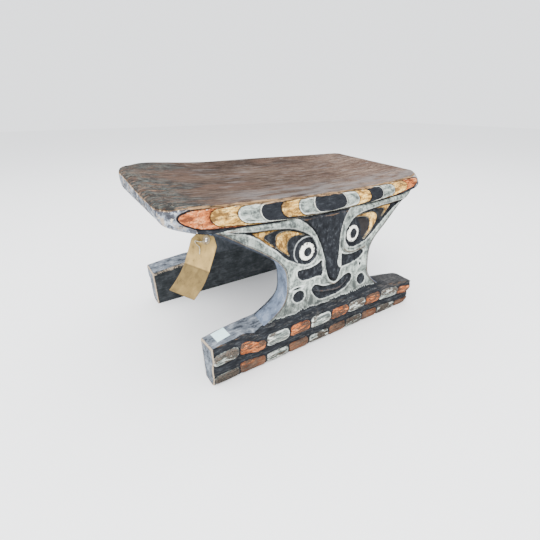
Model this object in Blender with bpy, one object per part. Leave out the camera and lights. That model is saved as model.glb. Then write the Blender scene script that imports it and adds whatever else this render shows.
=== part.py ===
"""Low two-legged headrest with a carved face on each side panel, plus its paper tag.

Frame: metres, +Z up, the floor at Z = 0, +X along the seat, the carved front faces -Y.
"""
import bpy
import bmesh
from math import cos, sin, pi, exp, log, sqrt, radians
from mathutils import Vector

for old in list(bpy.data.objects):
    bpy.data.objects.remove(old, do_unlink=True)

MM = 0.001
GAP = 0.3                     # carved members are parted by this much, mm
SEAT_ON = 0.55                # the foot of a panel clears the runner by this much, mm

# seat slab, mm
SEAT_HALF = 225.7             # half length along X at the top edge
SEAT_UNDER_HALF = 222.5       # half length at the lower edge
SEAT_END_FRONT = 114.6        # depth of the top edge from the centre line at the ends
SEAT_END_BACK = 116.4
SEAT_BULGE = 16.3             # the long edges bow out by this much in the middle
RIM_END = 128.5               # the same for the lower edge, which stands further out
RIM_BULGE = 13.5
TOP_HEIGHT = 243.5            # top edge at the ends, on the centre line
TOP_TILT = 4.9                # rise over 110 mm towards the back
TOP_LEAN = 4.1                # the left end stands this much higher, the right end lower
SAG_FRONT = 6.2               # the long edges dip in the middle
SAG_BACK = 2.2
DISH = 5.0                    # hollow of the top below its edges
UNDER_MID = 205.5             # underside at the front, in the middle
UNDER_RISE = 17.0             # extra height of the underside at the ends
UNDER_TILT = 0.03
CORNER_FRONT_LEFT = 14.0
CORNER_FRONT_RIGHT = 36.0
CORNER_BACK_LEFT = 64.0
CORNER_BACK_RIGHT = 22.0
END_CURL = 8.0                # the far left corner of the seat curls up
UNDER_BELLY = 5.0             # the rim is thicker near its front left end

# panels, mm
PANEL_FACE = 143.0            # front face from the centre line
PANEL_INNER = 118.0           # inner face, flush with the inner face of the runner
PANEL_FLARE = 4.0             # the foot of the face comes forward by this much
WAIST = 79.5                  # half width of the waist
ARM_KNEE = 147.0              # height where the arms start to spread
ARM_SLOPE = 1.66
FOOT_KNEE = 83.0
FOOT_SLOPE_LEFT = 2.6
FOOT_SLOPE_RIGHT = 1.45
ARM_BOW = 11.5                # the arm tips fall back under the rim
EYE_X = 42.3
EYE_Z = 159.5
EYE_RING = 13.4

# runners, mm
RUNNER_LEFT = -200.0
RUNNER_RIGHT = 193.5
END_INSET = 7.0               # rounding of the right end
RUNNER_INNER = 118.0
RUNNER_FOOT_Y = 147.0         # where the panel's foot meets the runner
RUNNER_OUT_LOW = 145.0
RUNNER_OUT_HIGH = 155.0
RUNNER_CREST = 74.0
RUNNER_FOOT_Z = 66.5
RUNNER_BEVEL_Z = 61.5

# tag, mm
TAG_WIDTH = 41.3
TAG_THICK = 0.4
TAG_HOLE = 2.7
TAG_TOP = 13.0                # top edge above the shoulder line
TAG_SHOULDER = Vector((-172.4, -96.0, 182.6))
TAG_ACROSS = Vector((0.4408, -0.8929, -0.0917)).normalized()
TAG_FOLD = 30.9               # shoulder line to cross fold
TAG_CURL = ((27.0, 30.9), (38.5, 19.9), (55.0, 19.4))
TAG_HOLE_AT = (3.0, 6.0)
STRING_RADIUS = 0.65
TACK_AT = (-149.0, -88.0)


def smooth(a, b, v):
    t = min(max((v - a) / (b - a), 0.0), 1.0)
    return t * t * (3.0 - 2.0 * t)


def softplus(v, width):
    return width * log(1.0 + exp(v / width))


# ---------------------------------------------------------------- seat surfaces

def seat_top(x, y):
    u = x / SEAT_HALF
    sag = SAG_FRONT + (SAG_BACK - SAG_FRONT) * (y + 131.0) / 264.0
    edge = TOP_HEIGHT + TOP_TILT * y / 110.0 - TOP_LEAN * u - sag * (1.0 - u * u)
    v = y / 132.0
    curl = END_CURL * smooth(135.0, 212.0, -x) * smooth(-70.0, 100.0, y)
    return edge + curl - DISH * max(0.0, 1.0 - u ** 4) * max(0.0, 1.0 - v ** 4)


def seat_under(x, y):
    u = min(abs(x) / 226.0, 1.0)
    belly = UNDER_BELLY * exp(-((x + 182.0) / 26.0) ** 2) * smooth(95.0, 130.0, -y)
    return UNDER_MID + UNDER_RISE * u ** 4.2 + UNDER_TILT * (y + 143.0) - belly


def plan_depth(x, half, end, bulge, corner_left, corner_right):
    """Distance of a long edge from the centre line, with rounded corners."""
    u = x / half
    depth = end + bulge * (1.0 - u * u)
    r = corner_left if x < 0 else corner_right
    over = abs(x) - (half - r)
    if over > 0:
        depth -= 0.8 * (r - sqrt(max(r * r - over * over, 0.0)))
    return depth


def column_positions(half, count):
    """Columns along X, closer together near both rounded ends."""
    out = []
    for i in range(count + 1):
        a = -1.0 + 2.0 * i / count
        out.append(half * (0.55 * a + 0.45 * sin(a * pi / 2)))
    return out


def build_mesh(name, verts, faces, flat_groups=()):
    bm = bmesh.new()
    vs = [bm.verts.new(Vector(v) * MM) for v in verts]
    made = []
    for f in faces:
        made.append(bm.faces.new([vs[i] for i in f]))
    for group in flat_groups:
        bmesh.ops.dissolve_faces(bm, faces=[made[i] for i in group], use_verts=False)
    bmesh.ops.recalc_face_normals(bm, faces=bm.faces[:])
    mesh = bpy.data.meshes.new(name)
    bm.to_mesh(mesh)
    bm.free()
    mesh.shade_smooth()
    mesh.set_sharp_from_angle(angle=radians(32.0))
    obj = bpy.data.objects.new(name, mesh)
    bpy.context.scene.collection.objects.link(obj)
    return obj


def material(obj, rgb, rough):
    mat = bpy.data.materials.new(obj.name + "_mat")
    mat.use_nodes = True
    node = mat.node_tree.nodes["Principled BSDF"]
    node.inputs["Base Color"].default_value = (rgb[0], rgb[1], rgb[2], 1.0)
    node.inputs["Roughness"].default_value = rough
    obj.data.materials.append(mat)


def loop_of_grid(cols, rows):
    """Boundary of a grid as (column, row) pairs, once round."""
    ring = [(i, 0) for i in range(cols)]
    ring += [(cols, j) for j in range(rows)]
    ring += [(i, rows) for i in range(cols, 0, -1)]
    ring += [(0, j) for j in range(rows, 0, -1)]
    return ring


def build_seat():
    cols, rows = 44, 8
    top_x = column_positions(SEAT_HALF, cols)
    low_x = column_positions(SEAT_UNDER_HALF, cols)
    verts, faces = [], []

    def y_pair(x, half, end_f, end_b, bulge):
        f = plan_depth(x, half, end_f, bulge, CORNER_FRONT_LEFT, CORNER_FRONT_RIGHT)
        b = plan_depth(x, half, end_b, bulge, CORNER_BACK_LEFT, CORNER_BACK_RIGHT)
        return -f, b

    def point(i, j, level):
        # level 0 is the top surface, 1 the underside
        if level == 0:
            x = top_x[i]
            f, b = y_pair(x, SEAT_HALF, SEAT_END_FRONT, SEAT_END_BACK, SEAT_BULGE)
            y = f + (b - f) * j / rows
            return [x, y, seat_top(x, y)]
        x = low_x[i]
        f, b = y_pair(x, SEAT_UNDER_HALF, RIM_END, RIM_END, RIM_BULGE)
        y = f + (b - f) * j / rows
        return [x, y, seat_under(x, y)]

    for level in (0, 1):
        for i in range(cols + 1):
            for j in range(rows + 1):
                verts.append(point(i, j, level))
    per = (cols + 1) * (rows + 1)

    def idx(i, j, level):
        return level * per + i * (rows + 1) + j

    for level in (0, 1):
        for i in range(cols):
            for j in range(rows):
                faces.append([idx(i, j, level), idx(i + 1, j, level),
                              idx(i + 1, j + 1, level), idx(i, j + 1, level)])
    ring = loop_of_grid(cols, rows)
    centre = Vector((0.0, 0.0, 225.0))
    previous = [idx(i, j, 0) for i, j in ring]
    # a softly rounded rim: two rings between the upper and the lower edge
    for t, bulge in ((0.12, 1.2), (0.5, 1.8), (0.9, 0.9)):
        now = []
        for i, j in ring:
            a = Vector(point(i, j, 0))
            b = Vector(point(i, j, 1))
            p = a.lerp(b, t)
            out = Vector((p.x - centre.x, p.y - centre.y, 0.0))
            out.x *= 0.3 if abs(p.x) < 200 else 1.0
            out.normalize()
            p = p + out * bulge
            verts.append(list(p))
            now.append(len(verts) - 1)
        for k in range(len(ring)):
            n = (k + 1) % len(ring)
            faces.append([previous[k], previous[n], now[n], now[k]])
        previous = now
    last = [idx(i, j, 1) for i, j in ring]
    for k in range(len(ring)):
        n = (k + 1) % len(ring)
        faces.append([previous[k], previous[n], last[n], last[k]])
    return build_mesh("seat_slab", verts, faces)


# ---------------------------------------------------------------- runners

def runner_inner_top(x):
    u = x / 200.0
    return RUNNER_CREST - 7.5 * u - 19.0 * u * u


def under_panel(x, side):
    """1 where the face's foot is cut down to the bevel, 0 towards the free ends."""
    if x < 0:
        if side > 0:
            return 1.0 - smooth(30.0, 136.0, -x)
        return 1.0 - smooth(132.0, 154.0, -x)
    return 1.0 - smooth(110.0, 128.0, x)


def runner_edge(x, side):
    """Heights at the foot line and at the outer corner of the top."""
    u = x / 200.0
    inner = runner_inner_top(x)
    outer = inner + 1.5 - 3.0 * u
    span = (RUNNER_FOOT_Y - RUNNER_INNER) / (RUNNER_OUT_HIGH - RUNNER_INNER)
    line = inner + (outer - inner) * span
    k = under_panel(x, side)
    foot = line + (RUNNER_FOOT_Z - line) * k
    corner = outer + (RUNNER_BEVEL_Z - outer) * k
    return foot, corner


def runner_top(x, depth, side):
    foot, corner = runner_edge(x, side)
    inner = runner_inner_top(x)
    if depth <= RUNNER_FOOT_Y:
        return inner + (foot - inner) * (depth - RUNNER_INNER) / (RUNNER_FOOT_Y - RUNNER_INNER)
    t = (depth - RUNNER_FOOT_Y) / (RUNNER_OUT_HIGH - RUNNER_FOOT_Y)
    return foot + (corner - foot) * t


def runner_section(x, side):
    """Closed section as (depth, height), starting at the inner bottom edge."""
    inner = runner_inner_top(x)
    foot, corner = runner_edge(x, side)
    pts = [(RUNNER_INNER, 0.0), (RUNNER_OUT_LOW - 1.5, 0.0)]
    scale = corner / 64.0
    for z, swell in ((2.0, 0.5), (6.0, 1.6), (11.0, 2.2), (16.0, 1.6), (20.0, 0.0), (27.0, -1.0),
                     (34.0, 0.0), (38.0, 2.0), (44.0, 3.8), (50.0, 4.0), (56.0, 2.4), (60.0, 0.0)):
        slope = RUNNER_OUT_LOW + (RUNNER_OUT_HIGH - RUNNER_OUT_LOW) * z / 64.0
        pts.append((slope + swell, z * min(scale, 1.02)))
    pts.append((RUNNER_OUT_HIGH, corner))
    pts.append((RUNNER_FOOT_Y, foot))
    pts.append((RUNNER_INNER, inner))
    return pts


def build_runner(name, side):
    stations = [RUNNER_LEFT]
    count = 34
    for i in range(1, count):
        stations.append(RUNNER_LEFT + (176.0 - RUNNER_LEFT) * i / (count - 1))
    stations += [182.0, 187.0, 191.0, RUNNER_RIGHT]
    verts, faces, bottom = [], [], []
    size = len(runner_section(0.0, side))
    for x in stations:
        pts = runner_section(x, side)
        over = max(0.0, x - 176.0) / 18.0
        inset = END_INSET * (1.0 - sqrt(max(0.0, 1.0 - over * over)))
        cy = sum(p[0] for p in pts) / size
        cz = sum(p[1] for p in pts) / size
        for depth, z in pts:
            fy = (depth - cy) / 20.0
            fz = (z - cz) / 30.0
            verts.append([x, side * (depth - inset * max(-1.0, min(1.0, fy))),
                          z - inset * max(-1.0, min(1.0, fz))])
    for s in range(len(stations) - 1):
        for k in range(size):
            n = (k + 1) % size
            if k == 0 and stations[s + 1] <= 176.5:
                bottom.append(len(faces))
            faces.append([s * size + k, s * size + n, (s + 1) * size + n, (s + 1) * size + k])
    faces.append([k for k in range(size)])
    faces.append([(len(stations) - 1) * size + k for k in range(size)])
    return build_mesh(name, verts, faces, [bottom])


# ---------------------------------------------------------------- panels

def half_width(z, left):
    arm = ARM_SLOPE * softplus(z - ARM_KNEE, 8.0)
    slope = FOOT_SLOPE_LEFT if left else FOOT_SLOPE_RIGHT
    foot = slope * softplus(FOOT_KNEE - z, 7.0)
    return WAIST + arm + foot


def face_depth(x, z):
    """Distance of the carved face from the centre line, before the carving."""
    foot = PANEL_FLARE * smooth(95.0, 66.0, z) if z < 95.0 else 0.0
    bow = ARM_BOW * smooth(70.0, 195.0, abs(x)) * smooth(150.0, 205.0, z)
    return PANEL_FACE + foot - bow


def face_carving(x, z):
    """Height of the carving above the ground of the face."""
    lift = 0.0
    # nose: wide under the rim, narrowing to the tip
    run = (z - 98.0) / 108.0
    if run > -0.05:
        centre = 3.0 - 6.0 * max(run, 0.0) ** 2
        half = 8.0 + 26.0 * max(run, 0.0) ** 2.2
        lift += 3.6 * smooth(half + 4.0, half - 4.0, abs(x - centre)) * smooth(-0.05, 0.05, run)
    # eye hollows with a raised ring each
    for sx in (-1.0, 1.0):
        dx = x - sx * EYE_X
        dz = z - EYE_Z
        r = sqrt(dx * dx + dz * dz)
        lift -= 2.2 * smooth(24.0, 17.0, r)
        lift += 2.4 * smooth(4.0, 0.0, abs(r - 10.0))
        # hollow running out to the flame beside the eye
        along = sx * x - 62.0
        if 0.0 < along < 66.0:
            mid = 171.0 + 0.45 * along
            lift -= 1.6 * smooth(15.0, 9.0, abs(z - mid) + 0.12 * along)
    # mouth: a hollow crescent with a ridge
    bend = 84.0 + 0.008 * x * x
    if abs(x - 4.0) < 42.0:
        off = abs(z - bend)
        fade = smooth(42.0, 34.0, abs(x - 4.0))
        lift -= 2.0 * smooth(11.0, 7.0, off) * fade
        lift += 1.6 * smooth(3.0, 0.0, off) * fade
    return lift


def panel_row_edge(t, left, side):
    """Edge position of a row: the height and half width agree with the outline."""
    w = 100.0
    for _ in range(60):
        x = -w if left else w
        y = -face_depth(x, 160.0)
        low = runner_top(x, RUNNER_FOOT_Y, side) + SEAT_ON
        high = seat_under(x, y) - GAP
        z = low + t * (high - low)
        w = 0.5 * w + 0.5 * half_width(z, left)
    return w


def build_panel(name, side):
    cols, rows = 44, 26
    ts = [j / rows for j in range(rows + 1)]
    edges = [(panel_row_edge(t, True, side), panel_row_edge(t, False, side)) for t in ts]
    verts, faces, inner_faces = [], [], []

    def heights(x, depth):
        return runner_top(x, depth, side) + SEAT_ON, seat_under(x, side * depth) - GAP

    size = 2 * (cols + 1) + 2
    for j, t in enumerate(ts):
        wl, wr = edges[j]
        row_mid = 66.0 + t * 143.0
        chamfer = 1.5 + 5.5 * smooth(145.0, 190.0, row_mid)
        front, back = [], []
        for i in range(cols + 1):
            a = i / cols
            xf = -(wl - chamfer) + (wl + wr - 2.0 * chamfer) * a
            xb = -wl + (wl + wr) * a
            low, high = heights(xf, RUNNER_FOOT_Y if t == 0 else PANEL_FACE)
            z = low + t * (high - low)
            depth = face_depth(xf, z)
            low, high = heights(xf, depth)
            z = low + t * (high - low)
            fade = smooth(0.0, 0.06, t) * smooth(1.0, 0.97, t)
            depth += face_carving(xf, z) * fade
            front.append([xf, side * depth, z])
            low, high = heights(xb, PANEL_INNER)
            back.append([xb, side * PANEL_INNER, low + t * (high - low)])
        ring = list(front)
        for sx, w in ((1.0, wr), (-1.0, wl)):
            x = sx * w
            depth = face_depth(x, row_mid) - 0.7 * chamfer
            low, high = heights(x, depth)
            edge = [x, side * depth, low + t * (high - low)]
            if sx > 0:
                ring.append(edge)
                ring += list(reversed(back))
            else:
                ring.append(edge)
        verts += ring
    for j in range(rows):
        for k in range(size):
            n = (k + 1) % size
            quad = [j * size + k, j * size + n, (j + 1) * size + n, (j + 1) * size + k]
            if cols + 2 <= k < 2 * cols + 2:
                inner_faces.append(len(faces))
            faces.append(quad)
    for j in (0, rows):
        base = j * size
        for i in range(cols):
            far = 2 * cols + 2
            faces.append([base + i, base + i + 1, base + far - i - 1, base + far - i])
        faces.append([base + cols, base + cols + 1, base + cols + 2])
        faces.append([base + 0, base + size - 2, base + size - 1])
    return build_mesh(name, verts, faces, [inner_faces])


# ---------------------------------------------------------------- tag, string, tack

TAG_ZERO = Vector((0.0, 0.0, -1.0))
TAG_ZERO = (TAG_ZERO - TAG_ACROSS * TAG_ZERO.dot(TAG_ACROSS)).normalized()
TAG_OUT = TAG_ZERO.cross(TAG_ACROSS).normalized()


def tag_direction(angle):
    return (TAG_ZERO * cos(angle) + TAG_OUT * sin(angle)).normalized()


def tag_point(a, b):
    """Point of the tag's middle surface: a across, b above the shoulder line."""
    first = radians(TAG_CURL[0][0])
    if b >= -TAG_FOLD:
        p = TAG_SHOULDER - tag_direction(first) * b
        d = tag_direction(first)
    else:
        p = TAG_SHOULDER + tag_direction(first) * TAG_FOLD
        left = -b - TAG_FOLD
        span = sum(length for _, length in TAG_CURL[1:])
        steps = 12
        d = tag_direction(first)
        for k in range(steps):
            part = min(max(left - span * k / steps, 0.0), span / steps)
            mid = (k + 0.5) / steps
            turn = radians(TAG_CURL[1][0] - 4.0 + (TAG_CURL[2][0] - TAG_CURL[1][0] + 8.0) * mid)
            if part > 0.0:
                d = tag_direction(turn)
                p = p + d * part
    normal = d.cross(TAG_ACROSS).normalized()
    return p + TAG_ACROSS * a, normal


def thick_sheet(name, flat, faces, thickness, lift, place):
    """Closed thin body from a flat mesh of (a, b) points mapped by place."""
    verts, out = [], []
    count = len(flat)
    for shift in (lift + thickness, lift):
        for a, b in flat:
            p, n = place(a, b)
            verts.append(list(p + n * shift))
    edges = {}
    for f in faces:
        out.append(list(f))
        out.append([i + count for i in reversed(f)])
        for k in range(len(f)):
            a, b = f[k], f[(k + 1) % len(f)]
            key = (min(a, b), max(a, b))
            edges[key] = edges.get(key, 0) + 1
    for (a, b), used in edges.items():
        if used == 1:
            out.append([a, b, b + count, a + count])
    return build_mesh(name, verts, out)


def filled_outline(outer, inner):
    """Triangles of a flat outline with one round hole."""
    bm = bmesh.new()
    for ring in (outer, inner):
        vs = [bm.verts.new((a, b, 0.0)) for a, b in ring]
        for k in range(len(vs)):
            bm.edges.new((vs[k], vs[(k + 1) % len(vs)]))
    bmesh.ops.triangle_fill(bm, edges=bm.edges[:], use_beauty=True)
    bm.verts.index_update()
    pts = [(v.co.x, v.co.y) for v in bm.verts]
    tris = [[v.index for v in f.verts] for f in bm.faces]
    bm.free()
    return pts, tris


def circle(cx, cy, r, count):
    return [(cx + r * cos(2 * pi * k / count), cy + r * sin(2 * pi * k / count)) for k in range(count)]


def build_tag():
    half = TAG_WIDTH / 2
    across = [-half, -half / 2, 0.0, half / 2, half]
    head = [(a, -2.0) for a in across] + [(half, 2.0), (half - 8.5, TAG_TOP),
                                          (-half + 8.5, TAG_TOP), (-half, 2.0)]
    pts, tris = filled_outline(head, circle(TAG_HOLE_AT[0], TAG_HOLE_AT[1], TAG_HOLE, 20))
    index = {}
    for k, (a, b) in enumerate(pts):
        index[(round(a, 3), round(b, 3))] = k
    rows = [-2.0, -12.0, -22.0, -TAG_FOLD]
    length = sum(v for _, v in TAG_CURL[1:])
    rows += [-TAG_FOLD - length * k / 8 for k in range(1, 9)]
    for b in rows:
        for a in across:
            key = (round(a, 3), round(b, 3))
            if key not in index:
                index[key] = len(pts)
                pts.append((a, b))
    for r in range(len(rows) - 1):
        for c in range(len(across) - 1):
            corners = [(across[c], rows[r]), (across[c + 1], rows[r]),
                       (across[c + 1], rows[r + 1]), (across[c], rows[r + 1])]
            tris.append([index[(round(a, 3), round(b, 3))] for a, b in corners])
    return thick_sheet("paper_tag", pts, tris, TAG_THICK, -TAG_THICK / 2, tag_point)


def build_eyelet():
    ring_in = circle(TAG_HOLE_AT[0], TAG_HOLE_AT[1], TAG_HOLE, 20)
    ring_out = circle(TAG_HOLE_AT[0], TAG_HOLE_AT[1], 6.2, 20)
    pts = ring_out + ring_in
    faces = [[k, (k + 1) % 20, 20 + (k + 1) % 20, 20 + k] for k in range(20)]
    return thick_sheet("tag_reinforcement_ring", pts, faces, 0.3, TAG_THICK / 2 + GAP, tag_point)


def string_path():
    """From the loop round the tack, down through the hole, to the loose tail."""
    hole, n = tag_point(*TAG_HOLE_AT)
    tx, ty = TACK_AT
    top = seat_under(tx, ty)
    level = top - 2.6
    r = 2.1
    pts = []
    for k in range(15):
        a = radians(-130.0 + 300.0 * k / 14)
        pts.append(Vector((tx + r * cos(a), ty + r * sin(a), level - 0.4 * k / 14)))
    away = Vector((hole.x - tx, hole.y - ty, 0.0)).normalized()
    pts.append(Vector((tx, ty, level - 0.6)) + away * 3.6)
    pts.append(Vector((tx, ty, level - 1.2)) + away * 5.6)
    start = pts[-1]
    behind = hole - n * 4.2 + Vector((0.0, 0.0, 3.2))
    steps = 7
    for k in range(1, steps):
        t = k / steps
        p = start.lerp(behind, t)
        p += Vector((-1.0, 0.6, -1.2)) * (sin(pi * t) * 1.2)
        pts.append(p)
    pts.append(behind)
    pts.append(hole - n * 1.4 + Vector((0.0, 0.0, 0.6)))
    pts.append(hole)
    pts.append(hole + n * 1.7)
    # the tail lies zigzag on the face of the tag
    last = pts[-1]
    for a, b in ((0.5, 3.5), (-3.0, 1.8), (-6.4, 1.4), (-9.6, 1.0), (-12.6, 0.2), (-9.8, -2.2),
                 (-6.6, -3.6), (-3.4, -4.9), (-1.6, -7.6), (-0.6, -10.6), (0.2, -13.8)):
        p, m = tag_point(a, b)
        pts.append(p + m * (TAG_THICK / 2 + GAP + STRING_RADIUS + 0.7))
    return pts


def build_string():
    pts = string_path()
    curve = bpy.data.curves.new("tag_string", "CURVE")
    curve.dimensions = "3D"
    curve.bevel_depth = STRING_RADIUS * MM
    curve.bevel_resolution = 2
    curve.use_fill_caps = True
    line = curve.splines.new("POLY")
    line.points.add(len(pts) - 1)
    for k, p in enumerate(pts):
        line.points[k].co = (p.x * MM, p.y * MM, p.z * MM, 1.0)
    obj = bpy.data.objects.new("tag_string", curve)
    bpy.context.scene.collection.objects.link(obj)
    return obj


def build_tack():
    """Small round-headed tack standing a little proud of the underside."""
    tx, ty = TACK_AT
    top = seat_under(tx, ty) - GAP
    profile = [(0.9, 0.0), (0.9, -5.3), (3.2, -5.5), (2.9, -6.2), (1.8, -6.7)]
    count = 16
    verts, faces = [], []
    for r, dz in profile:
        for k in range(count):
            a = 2 * pi * k / count
            verts.append([tx + r * cos(a), ty + r * sin(a), top + dz])
    for j in range(len(profile) - 1):
        for k in range(count):
            n = (k + 1) % count
            faces.append([j * count + k, j * count + n, (j + 1) * count + n, (j + 1) * count + k])
    faces.append(list(range(count)))
    verts.append([tx, ty, top - 6.9])
    base = (len(profile) - 1) * count
    for k in range(count):
        faces.append([base + k, base + (k + 1) % count, len(verts) - 1])
    return build_mesh("underside_tack", verts, faces)


def build_sticker():
    """Thin square label on the left end of the front runner's top."""
    corners = [(-187.4, 121.8), (-168.2, 119.4), (-168.8, 144.0), (-187.6, 146.6)]
    cells = 4
    pts, faces = [], []
    for j in range(cells + 1):
        for i in range(cells + 1):
            s, t = i / cells, j / cells
            low = [corners[0][k] * (1 - s) + corners[1][k] * s for k in (0, 1)]
            high = [corners[3][k] * (1 - s) + corners[2][k] * s for k in (0, 1)]
            pts.append((low[0] * (1 - t) + high[0] * t, low[1] * (1 - t) + high[1] * t))
    for j in range(cells):
        for i in range(cells):
            a = j * (cells + 1) + i
            faces.append([a, a + 1, a + cells + 2, a + cells + 1])

    def place(x, depth):
        return Vector((x, -depth, runner_top(x, depth, -1.0))), Vector((0.0, 0.0, 1.0))

    return thick_sheet("inventory_sticker", pts, faces, 0.4, GAP + 0.05, place)


def set_origin(obj, point):
    """Move the origin to a point given in mm, leaving the shape where it is."""
    origin = Vector(point) * MM
    if obj.type == "MESH":
        for v in obj.data.vertices:
            v.co -= origin
    else:
        for p in obj.data.splines[0].points:
            p.co.x -= origin.x
            p.co.y -= origin.y
            p.co.z -= origin.z
    obj.location = origin


seat = build_seat()
front_runner = build_runner("front_runner", -1.0)
rear_runner = build_runner("rear_runner", 1.0)
front_panel = build_panel("front_panel", -1.0)
rear_panel = build_panel("rear_panel", 1.0)
tag = build_tag()
eyelet = build_eyelet()
string = build_string()
tack = build_tack()
sticker = build_sticker()

material(seat, (0.23, 0.16, 0.12), 0.7)
material(front_runner, (0.10, 0.10, 0.11), 0.75)
material(rear_runner, (0.11, 0.11, 0.12), 0.75)
material(front_panel, (0.55, 0.57, 0.55), 0.8)
material(rear_panel, (0.50, 0.52, 0.50), 0.8)
material(tag, (0.62, 0.47, 0.28), 0.85)
material(eyelet, (0.78, 0.74, 0.66), 0.8)
material(string, (0.72, 0.70, 0.64), 0.9)
material(tack, (0.28, 0.27, 0.26), 0.45)
material(sticker, (0.72, 0.82, 0.84), 0.6)

hole_centre, hole_normal = tag_point(*TAG_HOLE_AT)
tack_point = Vector((TACK_AT[0], TACK_AT[1], seat_under(*TACK_AT) - 2.8))
set_origin(tag, hole_centre)
set_origin(eyelet, hole_centre)
set_origin(string, tack_point)
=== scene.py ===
"""Looks of a carved and painted two-legged headrest with its paper tag.

Every carved member is a dense closed mesh whose relief and paint zones come from the same drawn
outlines. Lengths inside the shape functions are millimetres in the shared frame.
"""
from math import cos, sin, pi, radians, sqrt

import bmesh
import bpy
import numpy as np
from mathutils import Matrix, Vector


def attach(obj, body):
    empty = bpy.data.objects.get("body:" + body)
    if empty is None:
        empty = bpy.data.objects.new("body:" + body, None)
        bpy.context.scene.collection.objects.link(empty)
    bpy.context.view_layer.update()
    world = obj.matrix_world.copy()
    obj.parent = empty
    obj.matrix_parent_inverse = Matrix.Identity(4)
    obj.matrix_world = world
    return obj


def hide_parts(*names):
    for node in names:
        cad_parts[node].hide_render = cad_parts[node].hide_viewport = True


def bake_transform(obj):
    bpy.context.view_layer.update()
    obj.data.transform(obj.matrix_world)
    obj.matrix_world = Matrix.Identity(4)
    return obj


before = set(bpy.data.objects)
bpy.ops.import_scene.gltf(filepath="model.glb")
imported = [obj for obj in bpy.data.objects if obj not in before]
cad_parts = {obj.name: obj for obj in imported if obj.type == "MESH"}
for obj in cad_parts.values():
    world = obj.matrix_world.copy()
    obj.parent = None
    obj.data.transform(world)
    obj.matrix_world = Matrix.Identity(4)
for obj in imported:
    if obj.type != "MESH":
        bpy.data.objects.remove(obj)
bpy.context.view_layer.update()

MM = 0.001
SEED = 11

# seat slab, the same driving sizes as the CAD
SEAT_HALF = 225.7
SEAT_UNDER_HALF = 222.5
SEAT_END_FRONT = 114.6
SEAT_END_BACK = 116.4
SEAT_BULGE = 16.3
RIM_END = 128.5
RIM_BULGE = 13.5
TOP_HEIGHT = 243.5
TOP_TILT = 4.9
TOP_LEAN = 4.1
SAG_FRONT = 6.2
SAG_BACK = 2.2
DISH = 5.0
UNDER_MID = 205.5
UNDER_RISE = 17.0
UNDER_TILT = 0.03
CORNER_FRONT = (14.0, 36.0)      # left, right
CORNER_BACK = (64.0, 22.0)
END_CURL = 8.0
UNDER_BELLY = 5.0

# panels
GAP = 0.3
SEAT_ON = 0.55
PANEL_FACE = 143.0
PANEL_INNER = 118.0
PANEL_FLARE = 4.0
WAIST = 79.5
ARM_KNEE = 147.0
ARM_SLOPE = 1.66
FOOT_KNEE = 83.0
FOOT_SLOPE = (2.6, 1.45)         # left, right
ARM_BOW = 11.5

# runners
RUNNER_LEFT = -200.0
RUNNER_RIGHT = 193.5
END_INSET = 10.5
RUNNER_INNER = 118.0
RUNNER_FOOT_Y = 147.0
RUNNER_OUT_LOW = 145.0
RUNNER_OUT_HIGH = 155.0
RUNNER_CREST = 74.0
RUNNER_FOOT_Z = 66.5
RUNNER_BEVEL_Z = 61.5

# tag
TAG_WIDTH = 41.3
TAG_THICK = 0.4
TAG_HOLE = 2.7
TAG_TOP = 13.0
TAG_SHOULDER = Vector((-172.4, -96.0, 182.6))
TAG_ACROSS = Vector((0.4408, -0.8929, -0.0917)).normalized()
TAG_FOLD = 30.9
TAG_CURL = ((27.0, 30.9), (38.5, 19.9), (55.0, 19.4))
TAG_HOLE_AT = (3.0, 6.0)
STRING_RADIUS = 0.65
TWIST_LENGTH = 2.6
TACK_AT = (-149.0, -88.0)


# ---------------------------------------------------------------- numbers

def smooth(a, b, v):
    t = np.clip((np.asarray(v, float) - a) / (b - a), 0.0, 1.0)
    return t * t * (3.0 - 2.0 * t)


def softplus(v, width):
    return width * np.logaddexp(0.0, np.asarray(v, float) / width)


def bump(v, centre, width):
    return np.exp(-((v - centre) / width) ** 2)


def hash01(i, j, k, seed):
    """Repeatable value from 0 to 1 for whole-number points."""
    h = (i * 73856093) ^ (j * 19349663) ^ (k * 83492791) ^ (seed * 40503)
    h = h & 0xFFFFFFFF
    h = ((h ^ (h >> 15)) * 0x2C1B3C6D) & 0xFFFFFFFF
    h = ((h ^ (h >> 12)) * 0x297A2D39) & 0xFFFFFFFF
    return (h ^ (h >> 15)) / 4294967295.0


def noise(points, size, seed=0):
    """Smooth noise from -1 to 1; size is the feature size in mm, one number or one per axis."""
    q = points / np.asarray(size, float)
    base = np.floor(q).astype(np.int64)
    f = q - base
    f = f * f * (3.0 - 2.0 * f)
    total = np.zeros(len(points))
    for corner in range(8):
        d = np.array([corner & 1, (corner >> 1) & 1, (corner >> 2) & 1])
        weight = np.prod(np.where(d, f, 1.0 - f), axis=1)
        c = base + d
        total += weight * hash01(c[:, 0], c[:, 1], c[:, 2], seed + SEED)
    return total * 2.0 - 1.0


def fractal(points, size, octaves=3, seed=0):
    size = np.asarray(size, float)
    total = np.zeros(len(points))
    for o in range(octaves):
        total += noise(points, size / 2.0 ** o, seed + 7 * o) / 2.0 ** o
    return total / 1.6


# ---------------------------------------------------------------- drawn outlines

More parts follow.
